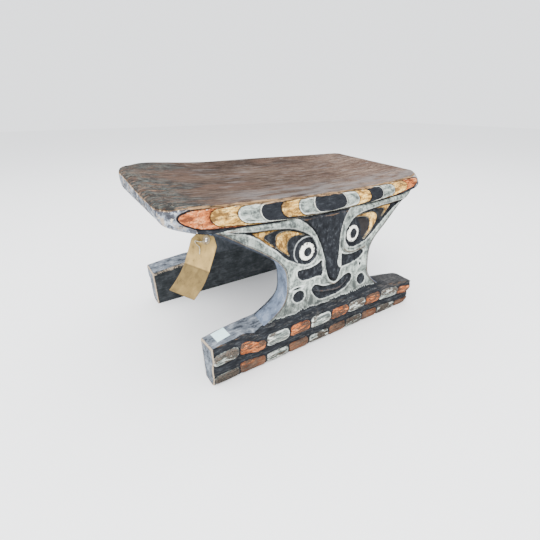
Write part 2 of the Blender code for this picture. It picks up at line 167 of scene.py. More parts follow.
def spline(points, corners=(), closed=True, steps=7):
    """Smooth line through the points; at the numbered corners it may turn sharply."""
    pts = [np.array(p, float) for p in points]
    n = len(pts)
    out = []
    spans = n if closed else n - 1
    for i in range(spans):
        a, b = pts[i], pts[(i + 1) % n]
        before = pts[(i - 1) % n] if closed or i > 0 else a
        after = pts[(i + 2) % n] if closed or i + 2 < n else b
        if i in corners:
            before = a
        if (i + 1) % n in corners:
            after = b
        for k in range(steps):
            t = k / steps
            out.append(0.5 * (2 * a + (b - before) * t + (2 * before - 5 * a + 4 * b - after) * t ** 2
                              + (3 * a - before - 3 * b + after) * t ** 3))
    if not closed:
        out.append(pts[-1])
    return np.array(out)


def distance(xz, line, closed=True):
    """Distance from each point to a line of straight pieces."""
    ends = np.roll(line, -1, axis=0) if closed else line[1:]
    starts = line if closed else line[:-1]
    best = np.full(len(xz), 1e9)
    for a, b in zip(starts, ends):
        d = b - a
        rel = xz - a
        t = np.clip(rel @ d / max(d @ d, 1e-9), 0.0, 1.0)
        off = rel - t[:, None] * d
        best = np.minimum(best, np.einsum("ij,ij->i", off, off))
    return np.sqrt(best)


def signed(xz, line):
    """Distance to a closed line, positive inside."""
    inside = np.zeros(len(xz), bool)
    for a, b in zip(line, np.roll(line, -1, axis=0)):
        crosses = (a[1] > xz[:, 1]) != (b[1] > xz[:, 1])
        rise = b[1] - a[1] if abs(b[1] - a[1]) > 1e-9 else 1e-9
        inside ^= crosses & (xz[:, 0] < (b[0] - a[0]) * (xz[:, 1] - a[1]) / rise + a[0])
    d = distance(xz, line)
    return np.where(inside, d, -d)


def disc(xz, cx, cz, rx, rz):
    """Positive inside an upright ellipse."""
    r = np.hypot((xz[:, 0] - cx) / rx, (xz[:, 1] - cz) / rz)
    return (1.0 - r) * min(rx, rz)


def rounded_box(x, z, x0, x1, z0, z1, r):
    qx = np.abs(x - (x0 + x1) / 2) - (x1 - x0) / 2 + r
    qz = np.abs(z - (z0 + z1) / 2) - (z1 - z0) / 2 + r
    outside = np.hypot(np.maximum(qx, 0), np.maximum(qz, 0))
    return r - outside - np.minimum(np.maximum(qx, qz), 0)


# ---------------------------------------------------------------- surfaces shared with the CAD

def seat_top(x, y):
    u = x / SEAT_HALF
    sag = SAG_FRONT + (SAG_BACK - SAG_FRONT) * (y + 131.0) / 264.0
    edge = TOP_HEIGHT + TOP_TILT * y / 110.0 - TOP_LEAN * u - sag * (1.0 - u * u)
    v = y / 132.0
    curl = END_CURL * smooth(62.0, 212.0, -x) * smooth(-70.0, 100.0, y)
    return edge + curl - DISH * np.maximum(0.0, 1.0 - u ** 4) * np.maximum(0.0, 1.0 - v ** 4)


def seat_under(x, y):
    u = np.minimum(np.abs(x) / 226.0, 1.0)
    belly = UNDER_BELLY * bump(x, -182.0, 26.0) * smooth(95.0, 130.0, -np.asarray(y, float))
    return UNDER_MID + UNDER_RISE * u ** 4.2 + UNDER_TILT * (y + 143.0) - belly


def plan_depth(x, half, end, bulge, corners):
    u = x / half
    r = np.where(x < 0, corners[0], corners[1])
    over = np.maximum(np.abs(x) - (half - r), 0.0)
    return end + bulge * (1.0 - u * u) - 0.8 * (r - np.sqrt(np.maximum(r * r - over * over, 0.0)))


def runner_inner_top(x):
    u = x / 200.0
    return RUNNER_CREST - 7.5 * u - 19.0 * u * u


def runner_edge(x, side):
    u = x / 200.0
    inner = runner_inner_top(x)
    outer = inner + 1.5 - 3.0 * u
    span = (RUNNER_FOOT_Y - RUNNER_INNER) / (RUNNER_OUT_HIGH - RUNNER_INNER)
    line = inner + (outer - inner) * span
    left = 1.0 - (smooth(30.0, 136.0, -x) if side > 0 else smooth(132.0, 154.0, -x))
    k = np.where(x < 0, left, 1.0 - smooth(110.0, 128.0, x))
    return line + (RUNNER_FOOT_Z - line) * k, outer + (RUNNER_BEVEL_Z - outer) * k


def runner_top(x, depth, side):
    foot, corner = runner_edge(x, side)
    inner = runner_inner_top(x)
    near = inner + (foot - inner) * (depth - RUNNER_INNER) / (RUNNER_FOOT_Y - RUNNER_INNER)
    t = (depth - RUNNER_FOOT_Y) / (RUNNER_OUT_HIGH - RUNNER_FOOT_Y)
    return np.where(depth <= RUNNER_FOOT_Y, near, foot + (corner - foot) * t)


def half_width(z, left):
    arm = ARM_SLOPE * softplus(z - ARM_KNEE, 8.0)
    return WAIST + arm + FOOT_SLOPE[0 if left else 1] * softplus(FOOT_KNEE - z, 7.0)


def face_depth(x, z):
    foot = PANEL_FLARE * smooth(95.0, 66.0, z)
    bow = ARM_BOW * smooth(70.0, 195.0, np.abs(x)) * smooth(150.0, 205.0, z)
    return PANEL_FACE + foot - bow


def row_half_width(t, left, side):
    w = 100.0
    for _ in range(60):
        x = -w if left else w
        y = -face_depth(x, 160.0)
        low = runner_top(x, RUNNER_FOOT_Y, side) + SEAT_ON
        high = seat_under(x, y) - GAP
        w = 0.5 * w + 0.5 * float(half_width(low + t * (high - low), left))
    return w


# ---------------------------------------------------------------- meshes

def strip_between(a, b):
    """Triangles joining two lines of point numbers that run the same way."""
    faces = []
    i = j = 0
    while i < len(a) - 1 or j < len(b) - 1:
        go_a = (i + 1) / max(len(a) - 1, 1) <= (j + 1) / max(len(b) - 1, 1)
        if j == len(b) - 1 or (go_a and i < len(a) - 1):
            if a[i] != a[i + 1]:
                faces.append([a[i], a[i + 1], b[j]])
            i += 1
        else:
            if b[j] != b[j + 1]:
                faces.append([a[i], b[j + 1], b[j]])
            j += 1
    return [f for f in faces if len(set(f)) == 3]


def quads(grid, closed=False):
    """Faces of a grid of point numbers; closed joins its last column to the first."""
    if closed:
        grid = np.concatenate([grid, grid[:, :1]], axis=1)
    a, b = grid[:-1, :-1].ravel(), grid[:-1, 1:].ravel()
    c, d = grid[1:, 1:].ravel(), grid[1:, :-1].ravel()
    return np.stack([a, b, c, d], axis=1).tolist()


def link(obj):
    bpy.context.scene.collection.objects.link(obj)
    return obj


def solid(name, points, faces, marks={}, sharp=40.0):
    """Closed smooth-shaded mesh in metres, with one number per point for each paint zone."""
    mesh = bpy.data.meshes.new(name)
    mesh.from_pydata((np.asarray(points) * MM).tolist(), [], faces)
    mesh.update()
    for key, values in marks.items():
        layer = mesh.attributes.new(key, "FLOAT", "POINT")
        layer.data.foreach_set("value", np.asarray(values, np.float32))
    mesh.shade_smooth()
    mesh.set_sharp_from_angle(angle=radians(sharp))
    return link(bpy.data.objects.new(name, mesh))


def fix_facing(obj):
    """Makes every face of a closed mesh point outwards."""
    bm = bmesh.new()
    bm.from_mesh(obj.data)
    bmesh.ops.recalc_face_normals(bm, faces=bm.faces[:])
    bm.to_mesh(obj.data)
    bm.free()
    return obj


def normals_of(grid):
    """Unit normals of a grid of points (rows, columns, 3)."""
    du = np.gradient(grid, axis=1)
    dv = np.gradient(grid, axis=0)
    n = np.cross(du, dv)
    return n / np.maximum(np.linalg.norm(n, axis=2, keepdims=True), 1e-9)


def blurred(field, passes):
    """A grid of numbers averaged with its neighbours."""
    out = field.copy()
    for _ in range(passes):
        padded = np.pad(out, 1, mode="edge")
        out = (padded[:-2, 1:-1] + padded[2:, 1:-1] + padded[1:-1, :-2] + padded[1:-1, 2:]
               + 2.0 * out) / 6.0
    return out


def cavity(height, passes=10):
    """Above 0 on ridges and below 0 in grooves."""
    return height - blurred(height, passes)


# ---------------------------------------------------------------- the carved face

ALMOND_LEFT = spline([(-155, 205.3), (-140, 203.2), (-124, 200.4), (-104, 199.9), (-88, 198.4), (-70, 195),
    (-56, 189.6), (-43, 182.4), (-34, 173.5), (-28.2, 161), (-27.3, 150), (-32.5, 141.8), (-43, 138.3),
    (-55, 141.4), (-70, 149.5), (-80, 156), (-92, 169), (-106, 180.5), (-118, 191),
    (-134, 199.7)], corners=(0,))
ALMOND_RIGHT = spline([(26, 163), (28.6, 177), (35, 188), (45, 194), (60, 197.6), (82, 199.7),
    (110, 200.2), (140, 200.3), (166, 201.2), (150, 197.4), (130, 190.8), (112, 181), (95, 169.5),
    (80, 158.2), (68, 150.6), (56, 147), (45, 145), (35, 147.4), (28, 156)], corners=(8,))
NOSE = spline([(-63, 209), (-52, 203), (-44.5, 197.5), (-36.5, 189.8), (-29.6, 180), (-23.6, 169.5),
    (-18.6, 158), (-15, 147), (-11.6, 135), (-9.6, 123), (-6.8, 111.5), (-2, 103), (4, 98), (9, 97.2),
    (13.8, 101.5), (17, 108), (20.4, 116), (15.6, 118.6), (12.4, 127), (13.6, 138), (14.6, 150),
    (14.8, 162), (16.8, 177), (20.6, 189), (26, 200), (33, 207), (40, 212),
    (-60, 213)], corners=(0, 16, 26, 27))
CHEEK_LEFT = spline([(-60, 131.6), (-60.6, 126), (-58, 120), (-51, 114.8), (-38, 113.8), (-26, 114.4),
    (-17.4, 112.4), (-15.5, 119), (-17.4, 128), (-19, 138.2), (-26, 133.8), (-40, 130.7),
    (-52, 131.4)], corners=(0, 6, 9))
CHEEK_RIGHT = spline([(20.4, 139.8), (27, 136.2), (40, 134.3), (50, 134.9), (58, 136.6), (64, 134.8),
    (65.8, 130.6), (61, 126), (50, 121), (36, 118.5), (20.6, 117.4)], corners=(0, 10))
MOUTH = spline([(-31, 100.6), (-35.6, 95), (-33, 87.5), (-27.5, 80), (-18, 75.3), (0, 74.8), (20, 77.4),
    (34, 82.4), (43, 90.4), (43.4, 97.4), (36, 102), (27, 100.4), (17, 94.4), (3, 92.4), (-12, 93.6),
    (-24, 99)])
CRESCENT_LEFT = spline([(-47, 182), (-62, 189), (-78, 192), (-89, 189.6), (-91.6, 181), (-88.4, 170.5),
    (-72, 157), (-75.4, 168), (-74.4, 176.4), (-68.5, 182.4), (-58, 183.4)], corners=(0, 6))
CRESCENT_RIGHT = spline([(44, 190.4), (60, 192), (77, 192.4), (89, 189.6), (94, 182.4), (90, 172),
    (80, 161.6), (67, 152.4), (75.6, 162.4), (78.8, 174), (75, 184.4), (64, 189)], corners=(0, 7))
FLAME_LEFT = spline([(-124, 197.6), (-104, 198.6), (-84.5, 196.4), (-98, 194.8), (-106.6, 192),
    (-108, 187.6), (-101, 180.6), (-92, 172.6), (-103, 178.6), (-112, 186.4)], corners=(0, 2, 7))
FLAME_RIGHT = spline([(83, 197.4), (105, 198.8), (128.6, 197), (117, 188.6), (105.6, 180.8),
    (112.4, 189.4), (110, 193.8), (98, 195.8)], corners=(0, 2, 4))
DIM_RIGHT = spline([(52, 186.4), (66, 184.6), (74.4, 179.4), (76, 170), (72, 161.6), (66, 155.2),
    (61.4, 159.6), (61, 170), (56.6, 179)], corners=(0, 5))
DIM_FLAME = spline([(97.4, 192.6), (108.6, 191), (110, 187.6), (101, 178.4), (96.4, 176.4),
    (98.4, 184)], corners=(0, 4))
BROW_LEFT = spline([(-182, 209), (-150, 206.6), (-112, 204), (-82, 202.4), (-62, 199), (-47, 191.4),
    (-36, 181.4), (-28.6, 170), (-23.6, 158), (-20.4, 146), (-15.4, 133), (-12.4, 120), (-9, 109),
    (-3, 99), (5, 94.6), (14, 97.6), (20, 103)], closed=False)
BROW_RIGHT = spline([(180, 206), (140, 203.4), (104, 203.4), (76, 202.6), (56, 200.4), (40, 196),
    (29.6, 187), (22.6, 175), (20, 162), (20.8, 151), (27, 143), (38, 139), (54, 139.6),
    (66, 141)], closed=False)
NOSE_STRIPE = spline([(17.6, 146), (16.4, 132), (18, 119)], closed=False)
LIP = spline([(-29, 91), (-18, 86.6), (-4, 84), (10, 82), (22, 83.4), (33, 89.6)], closed=False)
EYE_ARC = spline([(-38, 178), (-50, 176.6), (-59, 170.6), (-63.4, 161), (-63, 151),
    (-59.6, 145.4)], closed=False)
# each eye's white ring and the pupil in it, as centre and radii
EYES = ((-42.6, 156.2, 12.8, 13, -41.8, 155.8, 6.8, 7), (42.8, 165.4, 11.6, 12.8, 44, 165.4, 6.9, 8.2))
EYE_MARKS = ((-48.5, 166.8, 1.3), (-43, 167.6, 1.5), (-31.6, 160.4, 1.3), (-32.0, 151.0, 1.3),
             (-30.6, 155.6, 1.1), (33.8, 169.6, 1.2), (34.6, 174, 1.1),
             (40.5, 154.6, 1.3), (46.8, 154.6, 1.0), (38.4, 176.6, 1.0))
DOTS = ((-59.0, 91.0, 9.7, 8.7), (64.0, 84.6, 8.6, 9.2), (-61.5, 104.0, 6.0, 1.7), (60.4, 112.0, 1.9, 2.8))
PITS = ((-85.0, 143.5, 1.4), (-80.4, 128.6, 1.5), (-71.5, 111.6, 1.1), (-66.5, 96.5, 0.9), (71, 99, 1.2))


def saw_line(x):
    """Height of the ragged line where the white of the face stops above the runner."""
    step = 4.3
    k = np.floor(x / step).astype(np.int64)
    f = x / step - k
    tooth = hash01(k, k * 0 + 3, k * 0, 5)
    lean = 0.3 + 0.4 * hash01(k, k * 0 + 7, k * 0, 5)
    wave = 0.7 * np.sin(x * 0.11) + 0.6 * np.sin(x * 0.31 + 1.0)
    peak = np.maximum(0.0, 1.0 - np.abs(f - lean) / (0.2 + 0.25 * tooth))
    return 67.4 + wave + (0.4 + 4.6 * tooth * tooth) * peak


def best(xz, *lines):
    """Distance to the nearest of several closed lines, positive inside."""
    return np.maximum.reduce([signed(xz, line) for line in lines])


def hill(away, width):
    """1 on a line and 0 from width on."""
    return np.maximum(0.0, 1.0 - (away / width) ** 2)


def face_design(x, z):
    """Relief height and paint zones, all in mm, for points of the carved face."""
    xz = np.stack([x, z], axis=1)
    socket = best(xz, ALMOND_LEFT, ALMOND_RIGHT)
    nose = signed(xz, NOSE)
    cheek = best(xz, CHEEK_LEFT, CHEEK_RIGHT)
    mouth = signed(xz, MOUTH)
    dots = np.maximum.reduce([disc(xz, *dot) for dot in DOTS])
    pits = np.maximum.reduce([disc(xz, cx, cz, r, r) for cx, cz, r in PITS])
    ochre = best(xz, CRESCENT_LEFT, CRESCENT_RIGHT, FLAME_LEFT, FLAME_RIGHT)
    dim = best(xz, DIM_RIGHT, DIM_FLAME)
    cream = np.full(len(x), -50.0)
    dome = np.zeros(len(x))
    for cx, cz, rx, rz, *pupil in EYES:
        ring = np.minimum(disc(xz, cx, cz, rx, rz), -disc(xz, *pupil))
        cream = np.maximum(cream, ring)
        dome += 2.2 * hill(np.hypot(x - cx, z - cz), 19.0) + 0.5 * smooth(-0.6, 1.0, ring)
    for cx, cz, r in EYE_MARKS:
        cream = np.minimum(cream, -disc(xz, cx, cz, r * 1.1, r * 0.8))
    arc = 1.0 - distance(xz, EYE_ARC, closed=False)
    black = np.maximum.reduce([socket, nose, cheek, mouth, dots])
    low = z - saw_line(x)

    lip = distance(xz, LIP, closed=False)
    brow = np.minimum(distance(xz, BROW_LEFT, closed=False), distance(xz, BROW_RIGHT, closed=False))
    stripe = distance(xz, NOSE_STRIPE, closed=False)
    height = 3.3 * hill(brow, 2.6 + 3.2 * smooth(150.0, 200.0, z))
    height = np.maximum(height, 1.3 * hill(stripe, 2.6))
    height -= 3.7 * smooth(-0.4, 2.8, socket) * (1.0 - smooth(120.0, 150.0, np.abs(x)) * 0.6)
    height += dome * smooth(-1.0, 2.0, socket)
    centre = 3.0 - 8.0 * smooth(120.0, 205.0, z)
    height += 2.4 * np.maximum(0.0, 1.0 - np.abs(x - centre) / 15.0) * smooth(0.0, 5.0, nose)
    height += 1.7 * hill(lip, 3.2) * smooth(0.0, 3.0, mouth)
    for part, start, end, lift in ((nose, -0.4, 3.0, 3.4), (cheek, -0.4, 2.2, -2.0), (mouth, -0.4, 2.8, -2.8),
                                   (dots, -0.4, 1.6, -1.0), (pits, -0.3, 1.0, -1.2), (ochre, -0.5, 1.2, 1.1),
                                   (arc, -0.4, 0.8, 0.5), (low, 0.0, -2.0, -0.5)):
        height += lift * smooth(start, end, part)
    height += 0.55 * bump(-black, 1.2, 1.3) * smooth(-1.0, 2.0, low)
    height -= 1.5 * bump(low, -1.4, 1.6)
    return height, {"grey": np.minimum(-black, low), "ochre": ochre, "dim": dim, "cream": cream, "arc": arc,
                    "lip": 1.0 - lip / 1.3, "pits": pits}


SUNK = 0.9          # the carving is one block, so a panel's ends reach this far into its neighbours
FAR = 9.0           # a zone's distance where it is everywhere, and -FAR where it is nowhere


def build_panel(name, side):
    cols, rows, back_cols, side_cols = 270, 134, 90, 10
    ts = np.linspace(0.0, 1.0, rows + 1)
    front = np.zeros((rows + 1, cols + 1, 3))
    back = np.zeros((rows + 1, back_cols + 1, 3))
    edges = np.zeros((2, rows + 1, side_cols, 3))

    def at(x, depth, t):
        """Points of the panel at the share t of its height."""
        depth = depth + 0.0 * x
        low = runner_top(x, depth, side) - SUNK
        high = seat_under(x, side * depth) + SUNK
        return np.stack([x, side * depth, low + t * (high - low)], axis=-1)

    for j, t in enumerate(ts):
        widths = row_half_width(t, True, side), row_half_width(t, False, side)
        mid = 66.0 + t * 143.0
        chamfer = 2.0 + 5.5 * float(smooth(145.0, 190.0, mid))
        x = np.linspace(chamfer - widths[0], widths[1] - chamfer, cols + 1)
        first = at(x, RUNNER_FOOT_Y if j == 0 else PANEL_FACE, t)
        front[j] = at(x, face_depth(x, first[:, 2]), t)
        back[j] = at(np.linspace(1.0 - widths[0], widths[1] - 1.0, back_cols + 1), PANEL_INNER, t)
        for e, sx in enumerate((-1.0, 1.0)):
            outer = float(face_depth(sx * widths[e], mid))
            for k in range(side_cols):
                a = 0.5 * pi * min(k + 1, 4) / 4.0
                x = sx * (widths[e] - chamfer * (1.0 - sin(a)))
                d = outer - 0.75 * chamfer * (1.0 - cos(a))
                f = max(k - 3, 0) / (side_cols - 3.0)
                edges[e, j, k] = at(np.array(x), d + (PANEL_INNER + 0.8 - d) * f, t)

    shape = front.shape[:2]
    relief, marks = face_design(front[..., 0].ravel(), front[..., 2].ravel())
    p = front.reshape(-1, 3)
    relief += 0.35 * fractal(p, 11.0, 3, 1) + 0.14 * fractal(p, (16.0, 4.0, 1.6), 2, 2)
    fade = (smooth(0.0, 0.03, ts) * smooth(1.0, 0.985, ts))[:, None]
    relief = relief.reshape(shape) * fade
    # the slope of the relief up the panel, for painted shade under ridges and painted highlight on their tops
    lean = np.gradient(blurred(relief, 1), axis=0) / np.gradient(front[..., 2], axis=0)
    front[..., 1] += side * relief
    for grid, sx in zip(edges, (-1.0, 1.0)):
        rough = 0.4 * fractal(grid.reshape(-1, 3), (9.0, 9.0, 7.0), 3, 3).reshape(grid.shape[:2])
        grid[..., 0] += sx * 0.8 * rough * np.sin(np.linspace(0.15, pi - 0.1, side_cols)) * fade
    rough = 0.35 * fractal(back.reshape(-1, 3), 14.0, 3, 4).reshape(back.shape[:2])
    back[..., 1] -= side * rough * (smooth(0.0, 0.05, ts) * smooth(1.0, 0.96, ts))[:, None]

    ring = np.concatenate([front, edges[1], back[:, ::-1], edges[0][:, ::-1]], axis=1)
    count = ring.shape[1]
    index = np.arange((rows + 1) * count).reshape(rows + 1, count)
    faces = quads(index, closed=True)
    for j in (0, rows):
        runs = np.split(index[j], np.cumsum((cols + 1, side_cols, back_cols + 1)))
        fore, right, rear, left = (list(run) for run in runs)
        cap = strip_between(fore, [left[0]] + rear[::-1] + [right[-1]])
        for line, corner in ((left, fore[0]), (right, fore[-1])):
            cap += [[line[k], line[k + 1], corner] for k in range(side_cols - 1)]
        faces += cap if j == 0 else [f[::-1] for f in cap]

    zones = {key: np.full((rows + 1, count), -FAR) for key in ("blue", "orange", *marks)}
    zones.update({key: np.zeros((rows + 1, count)) for key in ("cav", "inside", "under")})
    zones.update({key: np.full((rows + 1, count), FAR) for key in ("black", "edge")})
    face = slice(0, cols + 1)
    for key, field in marks.items():
        zones[key][:, face] = np.clip(field, -FAR, FAR).reshape(shape)
    zones["cav"][:, face] = cavity(relief)
    zones["under"][:, face] = np.clip(lean, -1.5, 1.5)
    step = np.linalg.norm(front[:, 1] - front[:, 0], axis=1)
    from_edge = np.minimum(np.arange(cols + 1), np.arange(cols, -1, -1)) * step[:, None]
    zones["blue"][:, face] = -from_edge - 0.3
    zones["edge"][:, face] = np.minimum(from_edge, FAR)
    # marks the inner face, which the material paints lighter as painted light
    zones["inside"][:, cols + 1 + side_cols:count - side_cols] = 1.0
    for start in (cols + 1, count - side_cols):
        zones["blue"][:, start:start + side_cols] = 4.0
    zones["grey"][:, 0] = zones["grey"][:, 1]
    return fix_facing(solid(name, ring.reshape(-1, 3), faces, {k: v.ravel() for k, v in zones.items()}))


# ---------------------------------------------------------------- runners

RUNNER_STEPS = (8, 64, 34, 26)      # points on the bottom, the outer face, the top and the inner face
COLUMNS = (-200.0, -162.6, -121.0, -82.0, -45.0, -5.0, 31.5, 69.0, 105.0, 151.5, 190.0)


def section(x, side):
    """One cross-section of a runner as (depth, height), from the inner bottom edge round."""
    inner = float(runner_inner_top(x))
    corner = float(runner_edge(x, side)[1])
    n_bottom, n_outer, n_top, n_inner = RUNNER_STEPS
    foot = RUNNER_OUT_LOW - 1.0 - RUNNER_INNER
    pts = [(RUNNER_INNER + foot * k / n_bottom, 0.0) for k in range(n_bottom)]
    for k in range(n_outer):
        z = corner * k / n_outer
        s = z / max(corner, 1.0) * 62.0
        swell = 2.2 * bump(s, 10.5, 7.0) + 4.0 * bump(s, 46.0, 9.0) - 1.2 * bump(s, 27.0, 6.0)
        round_low = 1.6 * (1.0 - sqrt(max(0.0, 1.0 - max(0.0, 1.0 - z / 2.5) ** 2)))
        pts.append((RUNNER_OUT_LOW + (RUNNER_OUT_HIGH - RUNNER_OUT_LOW) * z / 64.0 + swell - round_low, z))
    for k in range(n_top):
        d = RUNNER_OUT_HIGH + (RUNNER_INNER - RUNNER_OUT_HIGH) * k / n_top
        pts.append((d, float(runner_top(x, d, side))))
    return np.array(pts + [(RUNNER_INNER, inner * (1.0 - k / n_inner)) for k in range(n_inner)])


def brick_design(x, z):
    """Relief and paint zones of a runner's outer face, mm; z runs 0 to 62 over the face."""
    zones = {"grey": np.full(len(x), -FAR), "orange": np.full(len(x), -FAR)}
    droop = 5.5 * smooth(60.0, 190.0, x)
    lean = 0.10 * (z - 44.0)
    for row, (z0, z1, sag, slant, r) in enumerate(((32.8, 55.2, 0.9, 1.0, 6.5), (1.6, 18.6, 0.75, 0.4, 4.5))):
        for k in range(10):
            wob = 1.2 * (hash01(k, row, 1, 9) - 0.5)
            low = z0 + wob - 1.6 * (row == 0 and k < 2) + 1.5 * (k == 9)
            high = z1 - wob - 4.2 * (row == 0 and k < 2) - 3.0 * (row == 1 and k == 0)
            shape = rounded_box(x + lean * slant, z + droop * sag, COLUMNS[k] + 1.0, COLUMNS[k + 1] - 1.4,
                                low, high, r)
            key = "orange" if k % 2 else "grey"
            zones[key] = np.maximum(zones[key], shape)
    brick = np.maximum(zones["grey"], zones["orange"])
    height = 1.3 * smooth(-0.6, 2.0, brick) - 0.9 * bump(brick, -1.4, 1.3) * smooth(59.0, 56.0, z)
    # short notches along the lower edge of the upper row
    phase = (x + 0.3 * z) / 13.0
    height -= bump(phase - np.round(phase), 0.0, 0.12) * bump(z + 0.9 * droop, 27.5, 3.4)
    left = 0.3 * smooth(-140.0, -176.0, x) * smooth(56.0, 60.0, z)
    right = 0.45 * smooth(104.0, 130.0, x) * smooth(52.0, 57.0, z)
    zones["bare"] = np.maximum(left, right)
    return height, zones


def build_runner(name, side):
    round_left, round_right, round_from = 1.8, 18.0, 175.5
    stations = list(RUNNER_LEFT + round_left * (1.0 - np.cos(np.linspace(0, 0.5 * pi, 4))))[:-1]
    stations += list(np.linspace(RUNNER_LEFT + round_left, 176.0, 362))
    stations += list(round_from + round_right * np.sin(np.linspace(0.06, 0.5 * pi, 22)))
    rows = []
    for x in stations:
        x = min(x, RUNNER_RIGHT)
        pts = section(x, side)
        over = max(0.0, x - round_from) / round_right
        near = max(0.0, RUNNER_LEFT + round_left - x) / round_left
        inset = END_INSET * (1.0 - sqrt(max(0.0, 1.0 - over * over)))
        inset += 1.5 * (1.0 - sqrt(max(0.0, 1.0 - near * near)))
        pts -= inset * np.clip((pts - pts.mean(axis=0)) / (20.0, 30.0), -1, 1)
        rows.append(np.stack([np.full(len(pts), x), side * pts[:, 0], pts[:, 1]], axis=1))
    grid = np.array(rows)
    shape, n = grid.shape[:2], grid.shape[1]
    kind = np.repeat(np.arange(4), RUNNER_STEPS)[None, :] + np.zeros(shape, int)
    bottom, outer, top, inner = (kind == k for k in range(4))
    corner_at = RUNNER_STEPS[0] + RUNNER_STEPS[1]
    level = np.zeros(shape)
    level[:, RUNNER_STEPS[0]:corner_at] = np.linspace(0, 62, RUNNER_STEPS[1], endpoint=False)
    relief, marks = brick_design(grid[..., 0].ravel(), level.ravel())
    flat = grid.reshape(-1, 3)
    adze = 0.45 * fractal(flat, (14.0, 9.0, 9.0), 3, 21) + 0.16 * fractal(flat, (22.0, 2.4, 2.4), 2, 22)
    adze = adze.reshape(shape) * ~bottom * smooth(0.0, 3.0, grid[..., 2])
    for sx in (-1, 1):
        # no ridge rises where the panel stands
        reach = half_width(grid[..., 2], sx < 0) + 4.0
        under = top & (sx * grid[..., 0] >= 0) & (reach > sx * grid[..., 0])
        adze[under] = np.minimum(adze[under], 0.0)
    normal = normals_of(np.concatenate([grid[:, -1:], grid, grid[:, :1]], axis=1))[:, 1:-1]
    centre = grid.mean(axis=1, keepdims=True)
    flip = np.sign(np.einsum("ijk,ijk->ij", normal, grid - centre))[..., None]
    normal = normal * np.where(flip == 0, 1.0, flip)
    shift = relief.reshape(shape) * outer + adze
    grid = grid + normal * shift[..., None] * (np.abs(normal[..., :1]) < 0.9)
    grid[..., 2] = np.maximum(grid[..., 2], 0.0)
    grid[bottom, 2] = 0.0
    grid[:, 0, 2] = 0.0

    x, along = grid[..., 0], np.arange(n)[None, :]
    near_end = bump(x - RUNNER_LEFT, 0.6, 1.5)
    zones = {"black": np.full(shape, FAR), "ochre": np.full(shape, -FAR)}
    for key in ("grey", "orange"):
        zones[key] = np.where(outer, np.clip(marks[key], -FAR, FAR).reshape(shape), -FAR)
    past = 155.8 - 12.0 * smooth(-154.0, -114.0, x) - np.abs(grid[..., 1])
    bound = np.minimum(past, -108.0 - x + 6.0 * smooth(146.0, 120.0, np.abs(grid[..., 1])))
    blue = np.where(top, np.clip(bound, -FAR, FAR), -FAR)
    blue = np.maximum(blue, np.where(x < RUNNER_LEFT + 0.8, 3.0, -FAR))
    zones["blue"] = np.where(top, 4.0, blue) if side > 0 else blue
    bare = np.where(outer, marks["bare"].reshape(shape), 0.0)
    bare = np.maximum(bare, 0.45 * bump(along - corner_at, 0.0, 1.3) * (np.abs(x) > 140))
    zones["bare"] = np.maximum(bare, 0.9 * near_end)
    zones["cav"] = cavity(shift, 8) + 0.8 * bump(np.abs(along - corner_at), 0.0, 1.5)
    # the rounded edge of the left end face is worn to bare wood
    zones["rub"] = np.where(bottom, 0.0, near_end)
    if side > 0:
        inner_edge = bump(along - (corner_at + RUNNER_STEPS[2]), 1.0, 2.5)
        zones["rub"] = np.maximum(zones["rub"], 0.62 * inner_edge * smooth(-60.0, -150.0, x))
    # marks the inner face, which the material paints lighter as painted light
    zones["inside"] = inner * 1.0

    points = [grid.reshape(-1, 3)]
    count = shape[0] * n
    faces = quads(np.arange(count).reshape(-1, n), closed=True)
    out = {key: [field.ravel()] for key, field in zones.items()}
    cap = {"black": FAR, "bare": 0.0, "cav": 0.0, "rub": 0.0, "inside": 0.0}
    rings = 14
    for end, row in enumerate((grid[0], grid[-1])):
        last = np.arange(n) + end * (shape[0] - 1) * n
        mid = row.mean(axis=0)
        for r in range(1, rings):
            f = 1.0 - r / rings
            ring = mid + (row - mid) * f
            rough = 0.5 * fractal(ring, (8.0, 8.0, 5.0), 3, 31 + end) * smooth(0, 3, r)
            ring[:, 0] += rough + (1.2 if end else -0.15) * (1.0 - f * f)
            points.append(ring)
            now = np.arange(count, count + n)
            faces += quads(np.stack([last, now]), closed=True)
            cap["blue"] = FAR if end else 5.0
            for key in out:
                out[key].append(np.full(n, 0.5 if key == "bare" and r == 1 else cap.get(key, -FAR)))
            count += n
            last = now
        points.append(mid[None, :])
        for field in out.values():
            field.append(field[-1][:1])
        faces += [[last[k], last[(k + 1) % n], count] for k in range(n)]
        count += 1
    zones = {key: np.concatenate(fields) for key, fields in out.items()}
    return fix_facing(solid(name, np.concatenate(points), faces, zones))


# ---------------------------------------------------------------- seat

RIM_STEPS = (28.0, 54.0, 80.0, 108.0, 138.5, 172.0, 206.5)   # outer end of each painted patch
RIM_COLOURS = ("black", "grey", "ochre", "black", "grey", "ochre", "orange")
RIM_MID = 16.4
RIM_TALL = 30.0


